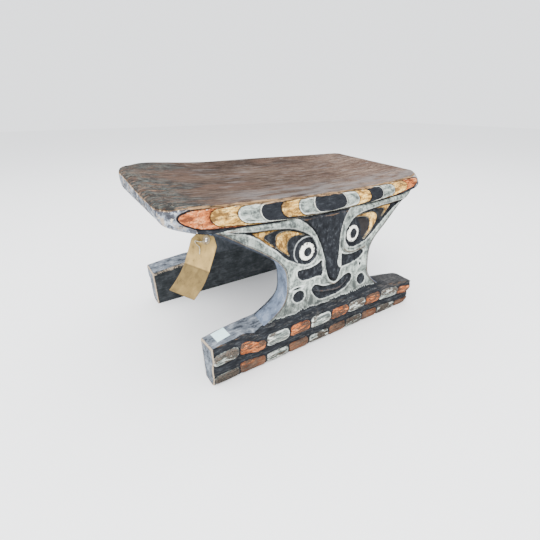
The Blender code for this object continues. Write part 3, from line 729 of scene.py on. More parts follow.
def rim_design(x, v):
    """Relief and paint zones of the rim; v is 0 at its lower edge and RIM_TALL at its upper edge."""
    zones = {k: np.full(len(x), -FAR) for k in ("grey", "ochre", "orange", "ink", "lines")}
    dark = np.full(len(x), FAR)
    away = np.abs(x)
    inner = np.full(len(x), -FAR)
    height = np.zeros(len(x))
    for k, (end, colour) in enumerate(zip(RIM_STEPS, RIM_COLOURS)):
        reach = 10.5 + 1.2 * (k == 0) + 0.6 * (k in (1, 4))
        nose_len = 9.0 + 5.0 * (k > 3) + 12.0 * (k == 6)
        s = end - away
        dv = np.abs(v - RIM_MID - 1.2 * (k == 0))
        along = np.maximum(nose_len - s, 0.0) / nose_len
        level = np.hypot(along, dv / reach)
        slope = np.hypot(along / nose_len, dv / reach ** 2) / np.maximum(level, 0.05)
        round_end = (1.0 - level) / np.maximum(slope, 1.0 / max(nose_len, reach))
        straight = np.minimum(reach + 0.085 * (s - nose_len), 13.4) - dv
        body = np.where(s < nose_len, round_end, straight)
        key = "ink" if colour == "black" else colour
        zones[key] = np.maximum(zones[key], np.minimum(body, -inner))
        height += 0.35 * smooth(-0.8, 0.8, body)
        pale = 0.7 - np.abs(body + 1.0) if colour == "black" else 0.2 - np.abs(body - 1.0)
        zones["lines"] = np.maximum(zones["lines"], np.minimum(pale, -inner))
        groove = np.abs(body + (2.1 if colour == "black" else 0.3))
        dark = np.minimum(dark, np.where(inner > 0.0, FAR, groove))
        inner = np.maximum(inner, body)
    height -= 0.6 * bump(dark, 0.0, 0.8)
    zones["outline"] = 0.85 - dark
    zones["ground"] = np.maximum(body + 1.9, np.minimum(6.5 - v, 192.0 - away))
    return height, zones


def plan_sheet(half, ends, bulge, count, across, level):
    """Grid of points over the seat's plan; level gives their heights, ends the front and back depth."""
    a = np.linspace(-1.0, 1.0, count + 1)
    x = half * (0.62 * a + 0.38 * np.sin(a * pi / 2))[:, None] + np.zeros(across + 1)
    front = -plan_depth(x, half, ends[0], bulge, CORNER_FRONT)
    back = plan_depth(x, half, ends[1], bulge, CORNER_BACK)
    y = front + (back - front) * np.linspace(0.0, 1.0, across + 1)
    return np.stack([x, y, level(x, y)], axis=2)


def border(c, r):
    """Row and column numbers once round a grid."""
    out = [(i, 0) for i in range(c)] + [(c, j) for j in range(r)]
    return np.array(out + [(i, r) for i in range(c, 0, -1)] + [(0, j) for j in range(r, 0, -1)])


def build_seat():
    cols, rows, rim_rows = 380, 120, 26
    top = plan_sheet(SEAT_HALF, (SEAT_END_FRONT, SEAT_END_BACK), SEAT_BULGE, cols, rows, seat_top)
    fine = plan_sheet(SEAT_UNDER_HALF, (RIM_END, RIM_END), RIM_BULGE, cols, rows, seat_under)
    under = plan_sheet(SEAT_UNDER_HALF, (RIM_END, RIM_END), RIM_BULGE, cols // 2, rows // 2, seat_under)
    shape, x, y = top.shape[:2], top[..., 0], top[..., 1]

    # surface wear of the top
    flat = top.reshape(-1, 3)
    wear = 0.7 * fractal(flat, (60.0, 26.0, 30.0), 3, 41) + 0.35 * fractal(flat, (70.0, 5.0, 9.0), 3, 42)
    wear += 0.16 * fractal(flat, (26.0, 1.9, 3.0), 2, 43)
    i, j = np.arange(cols + 1)[:, None], np.arange(rows + 1)[None, :]
    edge = np.minimum(np.minimum(i, cols - i), 2 * np.minimum(j, rows - j))
    wear = wear.reshape(shape) * (0.25 + 0.75 * smooth(0, 8, edge)) - 1.3 * (1.0 - smooth(0, 3.2, edge))
    wear -= 2.6 * (1.0 - smooth(0, 11.0, edge)) * smooth(-185.0, -215.0, x)
    top[..., 2] += wear

    # the rim, from the edge of the top down to the edge of the underside
    ring = border(cols, rows)
    at = (ring[:, 0], ring[:, 1])
    n = len(ring)
    upper, lower = top[at], fine[at]
    long_side = (ring[:, 1] == 0) | (ring[:, 1] == rows)
    u = upper[:, 0]
    rim, marks = [], []
    for k in range(1, rim_rows):
        t = k / rim_rows
        p = upper + (lower - upper) * t
        out = p * (1.0, 1.0, 0.0)
        out[:, 0] *= np.where(np.abs(u) < 200.0, 0.3, 1.0)
        out /= np.linalg.norm(out, axis=1, keepdims=True)
        relief, mark = rim_design(u, np.full(n, RIM_TALL * (1.0 - t)))
        rough = 0.4 * fractal(p, (13.0, 9.0, 8.0), 3, 51) + 0.12 * fractal(p, (14.0, 3.0, 2.4), 2, 52)
        rough *= smooth(0.0, 0.12, t) * smooth(1.0, 0.85, t)
        ends = 0.5 * fractal(p, (6.0, 7.0, 12.0), 2, 53) * smooth(0.0, 0.2, t)
        swell = 1.9 * sin(pi * t) ** 0.6
        rim.append(p + out * (swell + rough + np.where(long_side, relief, ends))[:, None])
        marks.append(mark)
    rim = np.array(rim)
    n_top, n_rim = i.size * j.size, rim.shape[0] * n
    top_index = np.arange(n_top).reshape(shape)
    rim_index = n_top + np.arange(n_rim).reshape(-1, n)
    low_index = n_top + n_rim + np.arange(under[..., 0].size).reshape(under.shape[:2])
    faces = quads(top_index) + quads(low_index)
    faces += quads(np.stack([top_index[at], rim_index[0]]), closed=True) + quads(rim_index, closed=True)
    low_ring = border(cols // 2, rows // 2)
    outer, inner = list(rim_index[-1]), list(low_index[low_ring[:, 0], low_ring[:, 1]])
    faces += strip_between(outer + outer[:1], inner + inner[:1])

    points = np.concatenate([top.reshape(-1, 3), rim.reshape(-1, 3), under.reshape(-1, 3)])
    painted = ("grey", "ochre", "orange", "ink", "lines")
    zones = {k: np.full(len(points), -FAR) for k in ("black", "blue", *painted)}
    zones.update({k: np.zeros(len(points)) for k in ("bare", "cav", "top")})
    zones["cav"][:n_top] = cavity(wear, 6).ravel()
    zones["top"][:n_top] = 1.0
    tip = smooth(2.6, 0.0, edge * (1.0 + 0.5 * fractal(flat, 9.0, 2, 44).reshape(shape)))
    tip = tip * (1.0 - 0.6 * smooth(-185.0, -203.0, x))
    strip = smooth(-113.5, -120.0, y + 3.0 * fractal(flat, (30.0, 6.0, 6.0), 2, 45).reshape(shape)
                   + 0.05 * np.abs(x)) * smooth(-40.0, -120.0, x)
    zones["bare"][:n_top] = np.maximum(tip, 0.95 * strip).ravel()
    outer_part = np.abs(u) > 150.0
    for k, mark in enumerate(marks):
        part = slice(n_top + k * n, n_top + (k + 1) * n)
        for key in painted:
            zones[key][part] = np.where(long_side, np.clip(mark[key], -FAR, FAR), -FAR)
        ground = np.clip(mark["ground"], -FAR, FAR)
        zones["black"][part] = np.where(long_side, np.where(outer_part, ground, FAR), -FAR)
        zones["blue"][part] = np.where(long_side, np.where(outer_part, -ground, -FAR), 6.0)
        v = RIM_TALL * (1.0 - (k + 1) / rim_rows)
        zones["bare"][part] = smooth(26.5, 29.0, v + 1.4 * fractal(rim[k], (16.0, 16.0, 4.0), 2, 54))
        # the rim's grooves, which the material darkens both as painted shade and as the dark outlines
        zones["cav"][part] = np.where(long_side, -smooth(-0.5, 0.7, mark["outline"]), 0.0)
    zones["black"][n_top + n_rim:] = FAR
    return fix_facing(solid("seat_carved", points, faces, zones))


# ---------------------------------------------------------------- tag, ring, string, tack, sticker

DOWN = Vector((0.0, 0.0, -1.0))
TAG_ZERO = (DOWN - TAG_ACROSS * DOWN.dot(TAG_ACROSS)).normalized()
TAG_OUT = TAG_ZERO.cross(TAG_ACROSS).normalized()


def tag_direction(angle):
    return (TAG_ZERO * cos(angle) + TAG_OUT * sin(angle)).normalized()


def tag_point(a, b):
    """Point and normal of the tag's middle surface: a across, b above the shoulder line."""
    first = radians(TAG_CURL[0][0])
    d = tag_direction(first)
    if b >= -TAG_FOLD:
        p = TAG_SHOULDER - d * b
    else:
        p = TAG_SHOULDER + d * TAG_FOLD
        left = -b - TAG_FOLD
        span = sum(length for _, length in TAG_CURL[1:])
        steps = 12
        for k in range(steps):
            part = min(max(left - span * k / steps, 0.0), span / steps)
            mid = (k + 0.5) / steps
            turn = radians(TAG_CURL[1][0] - 4.0 + (TAG_CURL[2][0] - TAG_CURL[1][0] + 8.0) * mid)
            if part > 0.0:
                d = tag_direction(turn)
                p = p + d * part
    return p + TAG_ACROSS * a, d.cross(TAG_ACROSS).normalized()


def thick_sheet(name, flat, faces, thickness, lift, place, marks):
    """Closed thin body from flat points mapped by place."""
    spots = [place(a, b) for a, b in flat]
    points = [p + n * (lift + thickness) for p, n in spots] + [p + n * lift for p, n in spots]
    count = len(flat)
    out = [list(f) for f in faces] + [[i + count for i in reversed(f)] for f in faces]
    used = {}
    for f in faces:
        for k in range(len(f)):
            key = tuple(sorted((f[k], f[(k + 1) % len(f)])))
            used[key] = used.get(key, 0) + 1
    out += [[a, b, b + count, a + count] for (a, b), times in used.items() if times == 1]
    doubled = {k: np.concatenate([v, v]) for k, v in marks.items()}
    return fix_facing(solid(name, np.array([list(p) for p in points]), out, doubled, sharp=50.0))


def round_hole_grid(outer, hole_at, radius, rings):
    """Rings of points from a round hole out to an outline with the same number of points."""
    angle = np.arctan2(outer[:, 1] - hole_at[1], outer[:, 0] - hole_at[0])
    inner = hole_at + radius * np.stack([np.cos(angle), np.sin(angle)], axis=1)
    pts = np.concatenate([inner + (outer - inner) * (r / rings) ** 1.2 for r in range(rings + 1)])
    return pts, quads(np.arange(len(pts)).reshape(rings + 1, -1), closed=True)


def build_tag():
    half = TAG_WIDTH / 2
    cut = half - 8.5
    head = np.array([(half, -2.0), (half, 2.0), (cut + 0.6, TAG_TOP - 0.3), (cut - 0.8, TAG_TOP),
                     (0.0, TAG_TOP + 0.15), (-cut + 0.8, TAG_TOP), (-cut - 0.6, TAG_TOP - 0.3),
                     (-half + 0.1, 2.0), (-half, -2.0)])
    cells = 30
    across = [-half + TAG_WIDTH * c / cells for c in range(cells + 1)]
    outline = [a + (b - a) * k / 6 for a, b in zip(head[:-1], head[1:]) for k in range(6)]
    outline = np.array(outline + [np.array([a, -2.0]) for a in across[:-1]])
    pts, faces = round_hole_grid(outline, np.array(TAG_HOLE_AT), TAG_HOLE, 9)
    pts = list(map(tuple, pts))
    index = {(round(float(a), 3), round(float(b), 3)): k for k, (a, b) in enumerate(pts)}
    span = sum(length for _, length in TAG_CURL[1:])
    rows = [-2.0 - (TAG_FOLD - 3.2) * k / 20 for k in range(21)]
    rows += [-TAG_FOLD + step for step in (0.7, 0.3, 0.0, -0.4, -1.0)]
    rows += [-TAG_FOLD - 1.0 - (span - 1.0) * k / 30 for k in range(1, 31)]
    grid = np.zeros((len(rows), cells + 1), int)
    for r, b in enumerate(rows):
        for c, a in enumerate(across):
            key = (round(a, 3), round(b, 3))
            if key not in index:
                index[key] = len(pts)
                pts.append((a, b))
            grid[r, c] = index[key]
    a, b = np.array(pts).T
    fold = np.abs(b + TAG_FOLD)
    from_edge = np.minimum(half - np.abs(a), np.minimum(TAG_TOP - b, b + TAG_FOLD + span))
    wave = 0.55 * fractal(np.stack([a, b, 0 * a], axis=1), 17.0, 2, 61) - 0.35 * bump(fold, 0.0, 0.9)
    wave += 0.5 * smooth(-60.0, -71.0, b) * np.cos(a * 0.24 + 0.4)
    wave *= smooth(5.0, 9.0, np.hypot(a - TAG_HOLE_AT[0], b - TAG_HOLE_AT[1]))
    shift = dict(zip(pts, wave))

    def place(pa, pb):
        p, n = tag_point(pa, pb)
        return p + n * float(shift[(pa, pb)]), n

    # fold and down place the painted shade along the crease and below the fold
    marks = {"fold": fold, "edge": from_edge, "down": b}
    return thick_sheet("tag_card_piece", pts, faces + quads(grid), TAG_THICK, -TAG_THICK / 2, place, marks)


def build_ring():
    count, rings = 48, 5
    pts = []
    for r in range(rings + 1):
        for k in range(count):
            angle = 2 * pi * k / count
            reach = (TAG_HOLE + (6.2 - TAG_HOLE) * r / rings) * (1.0 + 0.012 * sin(3 * angle) * (r == rings))
            pts.append((TAG_HOLE_AT[0] + reach * cos(angle), TAG_HOLE_AT[1] + reach * sin(angle)))
    faces = quads(np.arange(len(pts)).reshape(rings + 1, count), closed=True)
    edge = np.repeat([min(r, rings - r) for r in range(rings + 1)], count).astype(float)
    return thick_sheet("tag_ring_piece", pts, faces, 0.28, TAG_THICK / 2 + GAP, tag_point, {"edge": edge})


def string_line():
    """The string's centre line, from its loop round the tack to its loose end on the tag."""
    hole, n = tag_point(*TAG_HOLE_AT)
    tx, ty = TACK_AT
    level = float(seat_under(tx, ty)) - 2.6
    r = 2.1
    pts = []
    for k in range(15):
        a = radians(-130.0 + 300.0 * k / 14)
        pts.append(Vector((tx + r * cos(a), ty + r * sin(a), level - 0.4 * k / 14)))
    away = Vector((hole.x - tx, hole.y - ty, 0.0)).normalized()
    pts.append(Vector((tx, ty, level - 0.6)) + away * 3.6)
    pts.append(Vector((tx, ty, level - 1.2)) + away * 5.6)
    start = pts[-1]
    behind = hole - n * 4.2 + Vector((0.0, 0.0, 3.2))
    steps = 7
    for k in range(1, steps):
        t = k / steps
        pts.append(start.lerp(behind, t) + Vector((-1.0, 0.6, -1.2)) * (sin(pi * t) * 1.2))
    pts += [behind, hole - n * 1.4 + Vector((0.0, 0.0, 0.6)), hole, hole + n * 1.7]
    for a, b in ((0.5, 3.5), (-3.0, 1.8), (-6.4, 1.4), (-9.6, 1.0), (-12.6, 0.2), (-9.8, -2.2),
                 (-6.6, -3.6), (-3.4, -4.9), (-1.6, -7.6), (-0.6, -10.6), (0.2, -13.8)):
        p, m = tag_point(a, b)
        pts.append(p + m * (TAG_THICK / 2 + GAP + STRING_RADIUS + 0.7))
    return pts


def build_string():
    """Two twisted strands swept along the centre line, closed at both ends."""
    path = spline(string_line(), closed=False, steps=8)
    tangent = np.gradient(path, axis=0)
    tangent /= np.linalg.norm(tangent, axis=1, keepdims=True)
    normal = np.zeros_like(path)
    ref = np.cross(tangent[0], (0.0, 0.0, 1.0))
    for k in range(len(path)):
        ref = ref - tangent[k] * (ref @ tangent[k])
        ref = ref / np.linalg.norm(ref)
        normal[k] = ref
    other = np.cross(tangent, normal)
    along = np.concatenate([[0.0], np.cumsum(np.linalg.norm(np.diff(path, axis=0), axis=1))])
    twist = (along / TWIST_LENGTH * 2 * pi)[:, None]
    sides = 14
    angle = np.linspace(0, 2 * pi, sides, endpoint=False)[None, :]
    fray = smooth(0.0, 2.5, along[-1] - along)[:, None] * 0.35 + 0.65
    shape = STRING_RADIUS * (0.80 + 0.20 * np.abs(np.cos(angle - twist))) * fray
    ring = path[:, None] + normal[:, None] * (np.cos(angle) * shape)[..., None] \
        + other[:, None] * (np.sin(angle) * shape)[..., None]
    index = np.arange(len(path) * sides).reshape(-1, sides)
    faces = quads(index, closed=True) + [list(index[0])[::-1], list(index[-1])]
    # twist marks the grooves between the strands for painted shade
    marks = {"twist": np.cos(angle - twist).ravel()}
    return fix_facing(solid("tag_string_piece", ring.reshape(-1, 3), faces, marks, sharp=60.0)), path * MM


def build_tack():
    tx, ty = TACK_AT
    top = float(seat_under(tx, ty)) - GAP
    profile = [(0.9, 0.0), (0.9, -2.6), (0.9, -5.2), (1.1, -5.42), (3.0, -5.5), (3.2, -5.62), (3.15, -5.85),
               (2.9, -6.2), (2.4, -6.5), (1.6, -6.75), (0.7, -6.87)]
    count = 40
    pts = []
    for r, dz in profile:
        for k in range(count):
            a = 2 * pi * k / count
            dent = 1.0 + 0.025 * sin(5 * a + 1.0) * (r > 2.0)
            pts.append((tx + r * dent * cos(a), ty + r * dent * sin(a), top + dz))
    index = np.arange(len(pts)).reshape(-1, count)
    faces = quads(index, closed=True) + [list(index[0])]
    faces += [[index[-1][k], index[-1][(k + 1) % count], len(pts)] for k in range(count)]
    return fix_facing(solid("underside_tack_piece", pts + [(tx, ty, top - 6.9)], faces))


def build_sticker():
    corners = np.array([[(-187.4, 121.8), (-168.2, 119.4)], [(-187.6, 146.6), (-168.8, 144.0)]])
    cells = 18
    share = np.linspace(0.0, 1.0, cells + 1)
    low, high = (line[0] + (line[1] - line[0]) * share[:, None] for line in corners)
    pts = [tuple(low[i] + (high[i] - low[i]) * t) for t in share for i in range(cells + 1)]
    faces = quads(np.arange(len(pts)).reshape(cells + 1, -1))
    near = np.minimum(np.arange(cells + 1), cells - np.arange(cells + 1))
    edge = np.minimum(near[:, None], near[None, :]).ravel().astype(float)

    def place(x, depth):
        wave = 0.25 * float(fractal(np.array([[x, depth, 0.0]]), 9.0, 2, 71)[0])
        z = float(runner_top(x, depth, -1.0))
        return Vector((x, -depth, z + 0.55 + wave)), Vector((0.0, 0.0, 1.0))

    return thick_sheet("sticker_piece", pts, faces, 0.3, 0.0, place, {"edge": edge})


# ---------------------------------------------------------------- materials

class Graph:
    """Writes one material's nodes."""

    def __init__(self, name):
        self.material = bpy.data.materials.new(name)
        self.material.use_nodes = True
        self.tree = self.material.node_tree
        self.shader = self.tree.nodes["Principled BSDF"]
        self.where = self.node("TexCoord", {}).outputs["Object"]
        self.cache = {}

    def node(self, kind, inputs, **settings):
        node = self.tree.nodes.new("ShaderNode" + kind)
        for key, value in settings.items():
            setattr(node, key, value)
        for key, value in inputs.items():
            self.wire(value, node.inputs[key])
        return node

    def wire(self, value, socket):
        if isinstance(value, bpy.types.NodeSocket):
            self.tree.links.new(value, socket)
        elif isinstance(value, tuple) and len(value) == 3 and len(socket.default_value) == 4:
            socket.default_value = (*value, 1.0)
        else:
            socket.default_value = value

    def attr(self, name):
        if name not in self.cache:
            self.cache[name] = self.node("Attribute", {}, attribute_name=name).outputs["Fac"]
        return self.cache[name]

    def axis(self, number):
        """One coordinate of the surface point, in metres."""
        if "axes" not in self.cache:
            self.cache["axes"] = self.node("SeparateXYZ", {0: self.where})
        return self.cache["axes"].outputs[number]

    def math(self, op, *terms):
        total = terms[0]
        for term in terms[1:]:
            total = self.node("Math", {0: total, 1: term}, operation=op).outputs[0]
        return total

    def add(self, *terms):
        return self.math("ADD", *terms)

    def times(self, *terms):
        return self.math("MULTIPLY", *terms)

    def weigh(self, *terms):
        """Sum of terms; one given with a weight is multiplied by it."""
        return self.add(*(self.times(*term) if isinstance(term, tuple) else term for term in terms))

    def swing(self, value, size):
        """A noise value from 0 to 1 turned about its middle, times size."""
        return self.times(self.math("SUBTRACT", value, 0.5), size)

    def step(self, value, low, high, bottom=0.0, top=1.0):
        limits = {"Value": value, "From Min": low, "From Max": high, "To Min": bottom, "To Max": top}
        return self.node("MapRange", limits, interpolation_type="SMOOTHSTEP").outputs["Result"]

    def fall(self, value, low, high):
        return self.step(value, low, high, 1.0, 0.0)

    def noise(self, size, detail=2.0, seed=0.0, rough=0.55, warp=0.0):
        """Noise of a feature size in mm, one number or one per axis."""
        scale = tuple((1.0 / MM) / (np.ones(3) * size))
        place = {0: self.where, 1: scale, 2: (seed * 3.7, seed * 1.9, seed * 2.3)}
        moved = self.node("VectorMath", place, operation="MULTIPLY_ADD").outputs[0]
        look = {"Vector": moved, "Scale": 1.0, "Detail": detail, "Roughness": rough, "Distortion": warp}
        return self.node("TexNoise", look).outputs["Fac"]

    def mix(self, factor, a, b, blend="MIX"):
        sockets = {"Factor": factor, 6: a, 7: b}
        return self.node("Mix", sockets, data_type="RGBA", blend_type=blend).outputs[2]

    def over(self, colour, paint, *factors):
        """Paint laid over colour, as strong as the factors' product."""
        return self.mix(self.times(*factors), colour, paint)

    def grey(self, value):
        """A number as a colour."""
        return self.mix(value, (0.0, 0.0, 0.0), (1.0, 1.0, 1.0))

    def shade(self, factor, colour):
        """Colour times a grey factor."""
        return self.mix(1.0, colour, factor, "MULTIPLY")

    def three(self, value, dark, middle, light, steps=(0.30, 0.48, 0.52, 0.72)):
        """Three tones picked by a noise value."""
        low = self.mix(self.step(value, *steps[:2]), dark, middle)
        return self.mix(self.step(value, *steps[2:]), low, light)

    def spread(self, value, dark, middle, light):
        """Three tones with more of both ends."""
        return self.three(value, dark, middle, light, (0.40, 0.49, 0.51, 0.60))

    def finish(self, colour, rough, height=None, distance_mm=0.4, strength=0.6, specular=0.35):
        self.wire(colour, self.shader.inputs["Base Color"])
        self.wire(rough, self.shader.inputs["Roughness"])
        self.shader.inputs["Specular IOR Level"].default_value = specular
        if height is not None:
            relief = {"Strength": strength, "Distance": distance_mm * MM, "Height": height}
            self.wire(self.node("Bump", relief).outputs[0], self.shader.inputs["Normal"])
        return self.material


BLACK = ((0.008, 0.009, 0.011), (0.0145, 0.016, 0.019), (0.032, 0.035, 0.040))
GREY = ((0.072, 0.082, 0.078), (0.195, 0.225, 0.202), (0.36, 0.40, 0.36))
WHITE = (0.56, 0.59, 0.55)
OCHRE = ((0.14, 0.075, 0.024), (0.45, 0.250, 0.060), (0.72, 0.48, 0.160))
ORANGE = ((0.12, 0.038, 0.018), (0.39, 0.110, 0.032), (0.58, 0.24, 0.100))
CREAM = (0.95, 0.95, 0.84)
DIM = (0.024, 0.021, 0.020)
BLUE = ((0.070, 0.085, 0.115), (0.115, 0.145, 0.200), (0.175, 0.210, 0.275))
SCUFFED_BLUE = ((0.040, 0.045, 0.055), (0.120, 0.136, 0.160), (0.245, 0.268, 0.300))
WOOD = ((0.026, 0.017, 0.012), (0.090, 0.055, 0.034), (0.21, 0.14, 0.08))
SEAT_TONES = ((0.018, 0.011, 0.008), (0.056, 0.036, 0.027), (0.125, 0.090, 0.070))


class Paint(Graph):
    """Painted wood: the noises that its layers share, and the colour built up so far. stroke is the
    brush-stroke size and fibre the size of the wood fibres that show through, both in mm."""

    def __init__(self, name, ground, stroke, fibre, blues=BLUE, wear=0.35):
        super().__init__(name)
        self.colour = ground
        self.ragged = self.add(self.swing(self.noise(3.4, 2.0, 1.0), 1.9),
                               self.swing(self.noise(0.9, 1.0, 2.0), 1.0))
        self.brush = self.noise(stroke, 3.0, 3.0, 0.6, 0.4)
        self.blotch = self.noise(13.0, 3.0, 4.0)
        self.scratch = self.noise(fibre, 3.0, 5.0, 0.7)
        self.speck = self.noise(1.8, 2.0, 6.0)
        self.tone = self.weigh((self.brush, 0.5), (self.blotch, 0.25), (self.scratch, 0.25))
        self.lay(self.spread(self.weigh((self.blotch, 0.5), (self.brush, 0.5)), *blues), self.zone("blue"))
        black = self.spread(self.weigh((self.scratch, 0.5), (self.brush, 0.5)), *BLACK)
        worn = self.step(self.weigh(self.scratch, (self.speck, 0.5), (self.attr("cav"), 0.12)), 0.90, 1.02)
        black = self.over(black, (0.10, 0.105, 0.105), worn, wear)
        self.lay(black, self.zone("black"), self.fall(self.attr("blue"), -0.1, 0.5))
        grey = self.spread(self.weigh((self.tone, 1.7), -0.35), *GREY)
        # white just inside the edges of the grey zone, which on the face borders the black shapes: partly
        # white paint, partly a painted highlight on the raised lips there
        rim = self.times(self.step(self.attr("grey"), 0.1, 0.8), self.fall(self.attr("grey"), 1.5, 3.2))
        strength = self.step(self.weigh((self.blotch, 0.5), (self.scratch, 0.5)), 0.42, 0.53, 0.25, 0.95)
        grey = self.over(grey, WHITE, rim, strength)
        holes = self.step(self.weigh((self.scratch, 0.6), (self.speck, 0.4)), 0.555, 0.61)
        self.lay(self.over(grey, (0.035, 0.036, 0.036), holes, 0.65), self.zone("grey"))

    def zone(self, name):
        """1 where a paint zone is, with a ragged edge."""
        return self.step(self.add(self.attr(name), self.ragged, 0.0), -0.32, 0.32)

    def lay(self, paint, *factors):
        self.colour = self.over(self.colour, paint, *factors)

    def tint(self, factor):
        self.colour = self.shade(factor, self.colour)

    def warm(self):
        """Ochre and orange patches with dark hatching and a dark outline."""
        for name, tones, dark in (("ochre", OCHRE, (0.035, 0.022, 0.014)),
                                  ("orange", ORANGE, (0.030, 0.017, 0.013))):
            paint = self.spread(self.weigh((self.brush, 0.7), (self.scratch, 0.7), -0.2), *tones)
            hatch = self.step(self.weigh((self.scratch, 0.6), (self.speck, 0.4)), 0.545, 0.60)
            paint = self.over(paint, dark, hatch, 0.75)
            rim = self.step(self.weigh(self.attr(name), (self.ragged, 0.5)), 0.1, 1.1, 0.6, 0.0)
            paint = self.mix(rim, paint, dark)
            if name == "ochre":
                paint = self.shade(self.step(self.axis(0), -0.02, 0.12, 1.0, 1.45), paint)
            self.lay(paint, self.zone(name))

    def bare_wood(self, tones):
        grain = self.noise((38.0, 1.6, 1.6), 4.0, 8.0, 0.6, 0.6)
        return self.three(self.weigh((grain, 0.65), (self.blotch, 0.35)), *tones), grain

    def relief(self, grain):
        return self.weigh((self.brush, 0.7), (self.scratch, 0.5), (self.speck, 0.5), (grain, 0.5))


def panel_material(name):
    g = Paint(name, BLACK[1], (6.0, 6.0, 13.0), (4.5, 4.5, 5.5))
    # painted light: the inner faces get a lighter black than the front, lifting the shade under the seat
    g.lay(g.spread(g.weigh((g.brush, 0.4), (g.blotch, 0.6)), (0.055, 0.062, 0.071), (0.084, 0.094, 0.106),
                   (0.122, 0.134, 0.150)), g.attr("inside"), 0.75)
    wood, grain = g.bare_wood(WOOD)
    g.warm()
    g.lay(DIM, g.zone("dim"), 0.85)
    outline = g.times(g.step(g.attr("ochre"), -1.5, -0.7), g.fall(g.attr("ochre"), -0.5, 0.0))
    g.lay((0.30, 0.27, 0.20), outline, g.step(g.blotch, 0.42, 0.6, 0.0, 0.75))
    grime = g.step(g.add(g.noise((12.0, 12.0, 14.0), 5.0, 33.0, 0.70),
                         g.step(g.axis(2), 0.074, 0.100, 0.10, 0.0)), 0.575, 0.63)
    pale = g.times(g.step(g.attr("grey"), 0.5, 1.5), g.fall(g.attr("ochre"), -1.5, -0.5))
    g.lay((0.075, 0.082, 0.076), grime, pale, 0.6)
    waist = g.times(g.step(g.axis(2), 0.095, 0.110), g.fall(g.axis(2), 0.130, 0.150))
    g.tint(g.step(g.times(waist, pale), 0.0, 1.0, 1.0, 1.25))
    low_ground = g.times(g.fall(g.axis(2), 0.074, 0.094), pale)
    g.tint(g.step(low_ground, 0.0, 1.0, 1.0, 0.72))
    g.lay(g.mix(g.step(g.speck, 0.33, 0.46), (0.30, 0.30, 0.26), CREAM), g.zone("cream"))
    g.lay((0.34, 0.36, 0.36), g.zone("arc"), 0.85)
    lip = g.step(g.weigh(g.attr("lip"), (g.ragged, 0.5)), -0.1, 0.8)
    g.lay(g.mix(g.step(g.blotch, 0.45, 0.6), (0.045, 0.047, 0.05), (0.11, 0.075, 0.06)), lip, 0.6)
    g.lay((0.02, 0.02, 0.02), g.zone("pits"), 0.85)
    edge = g.add(g.attr("edge"), g.ragged)
    g.lay(wood, g.step(edge, 0.6, 1.7, 0.9, 0.0))
    line = g.times(g.step(edge, 1.3, 2.1), g.fall(edge, 2.9, 4.4))
    g.lay((0.035, 0.035, 0.037), line, g.step(g.blotch, 0.38, 0.50, 0.25, 0.9))
    worn = g.step(g.weigh(g.attr("cav"), (g.speck, 0.9), (g.blotch, 0.7)), 1.55, 1.9)
    g.lay(wood, worn, 0.85)
    # painted shade: the colour darkened in the carved grooves and recesses
    g.tint(g.step(g.attr("cav"), -1.3, -0.15, 0.42, 1.0))
    # painted shade on relief that faces down and painted highlight on relief that faces up
    g.tint(g.step(g.attr("under"), 0.12, 0.9, 1.0, 0.5))
    g.tint(g.step(g.attr("under"), -0.9, -0.12, 1.22, 1.0))
    # black laid over the blue sides of the panel above 150 mm, just under the seat
    dark_side_top = g.times(g.step(g.attr("blue"), 0.0, 1.0), g.step(g.axis(2), 0.150, 0.162))
    g.lay(g.three(g.brush, *BLACK), dark_side_top, 0.85)
    # the panel darkened in blotches from 150 mm up, towards the seat
    arm = g.times(g.step(g.axis(2), 0.150, 0.200), g.step(g.blotch, 0.40, 0.60))
    g.tint(g.step(arm, 0.0, 1.0, 1.0, 0.72))
    return g.finish(g.colour, g.step(g.tone, 0.3, 0.7, 0.66, 0.84), g.relief(grain), 0.5, 0.7, 0.06)


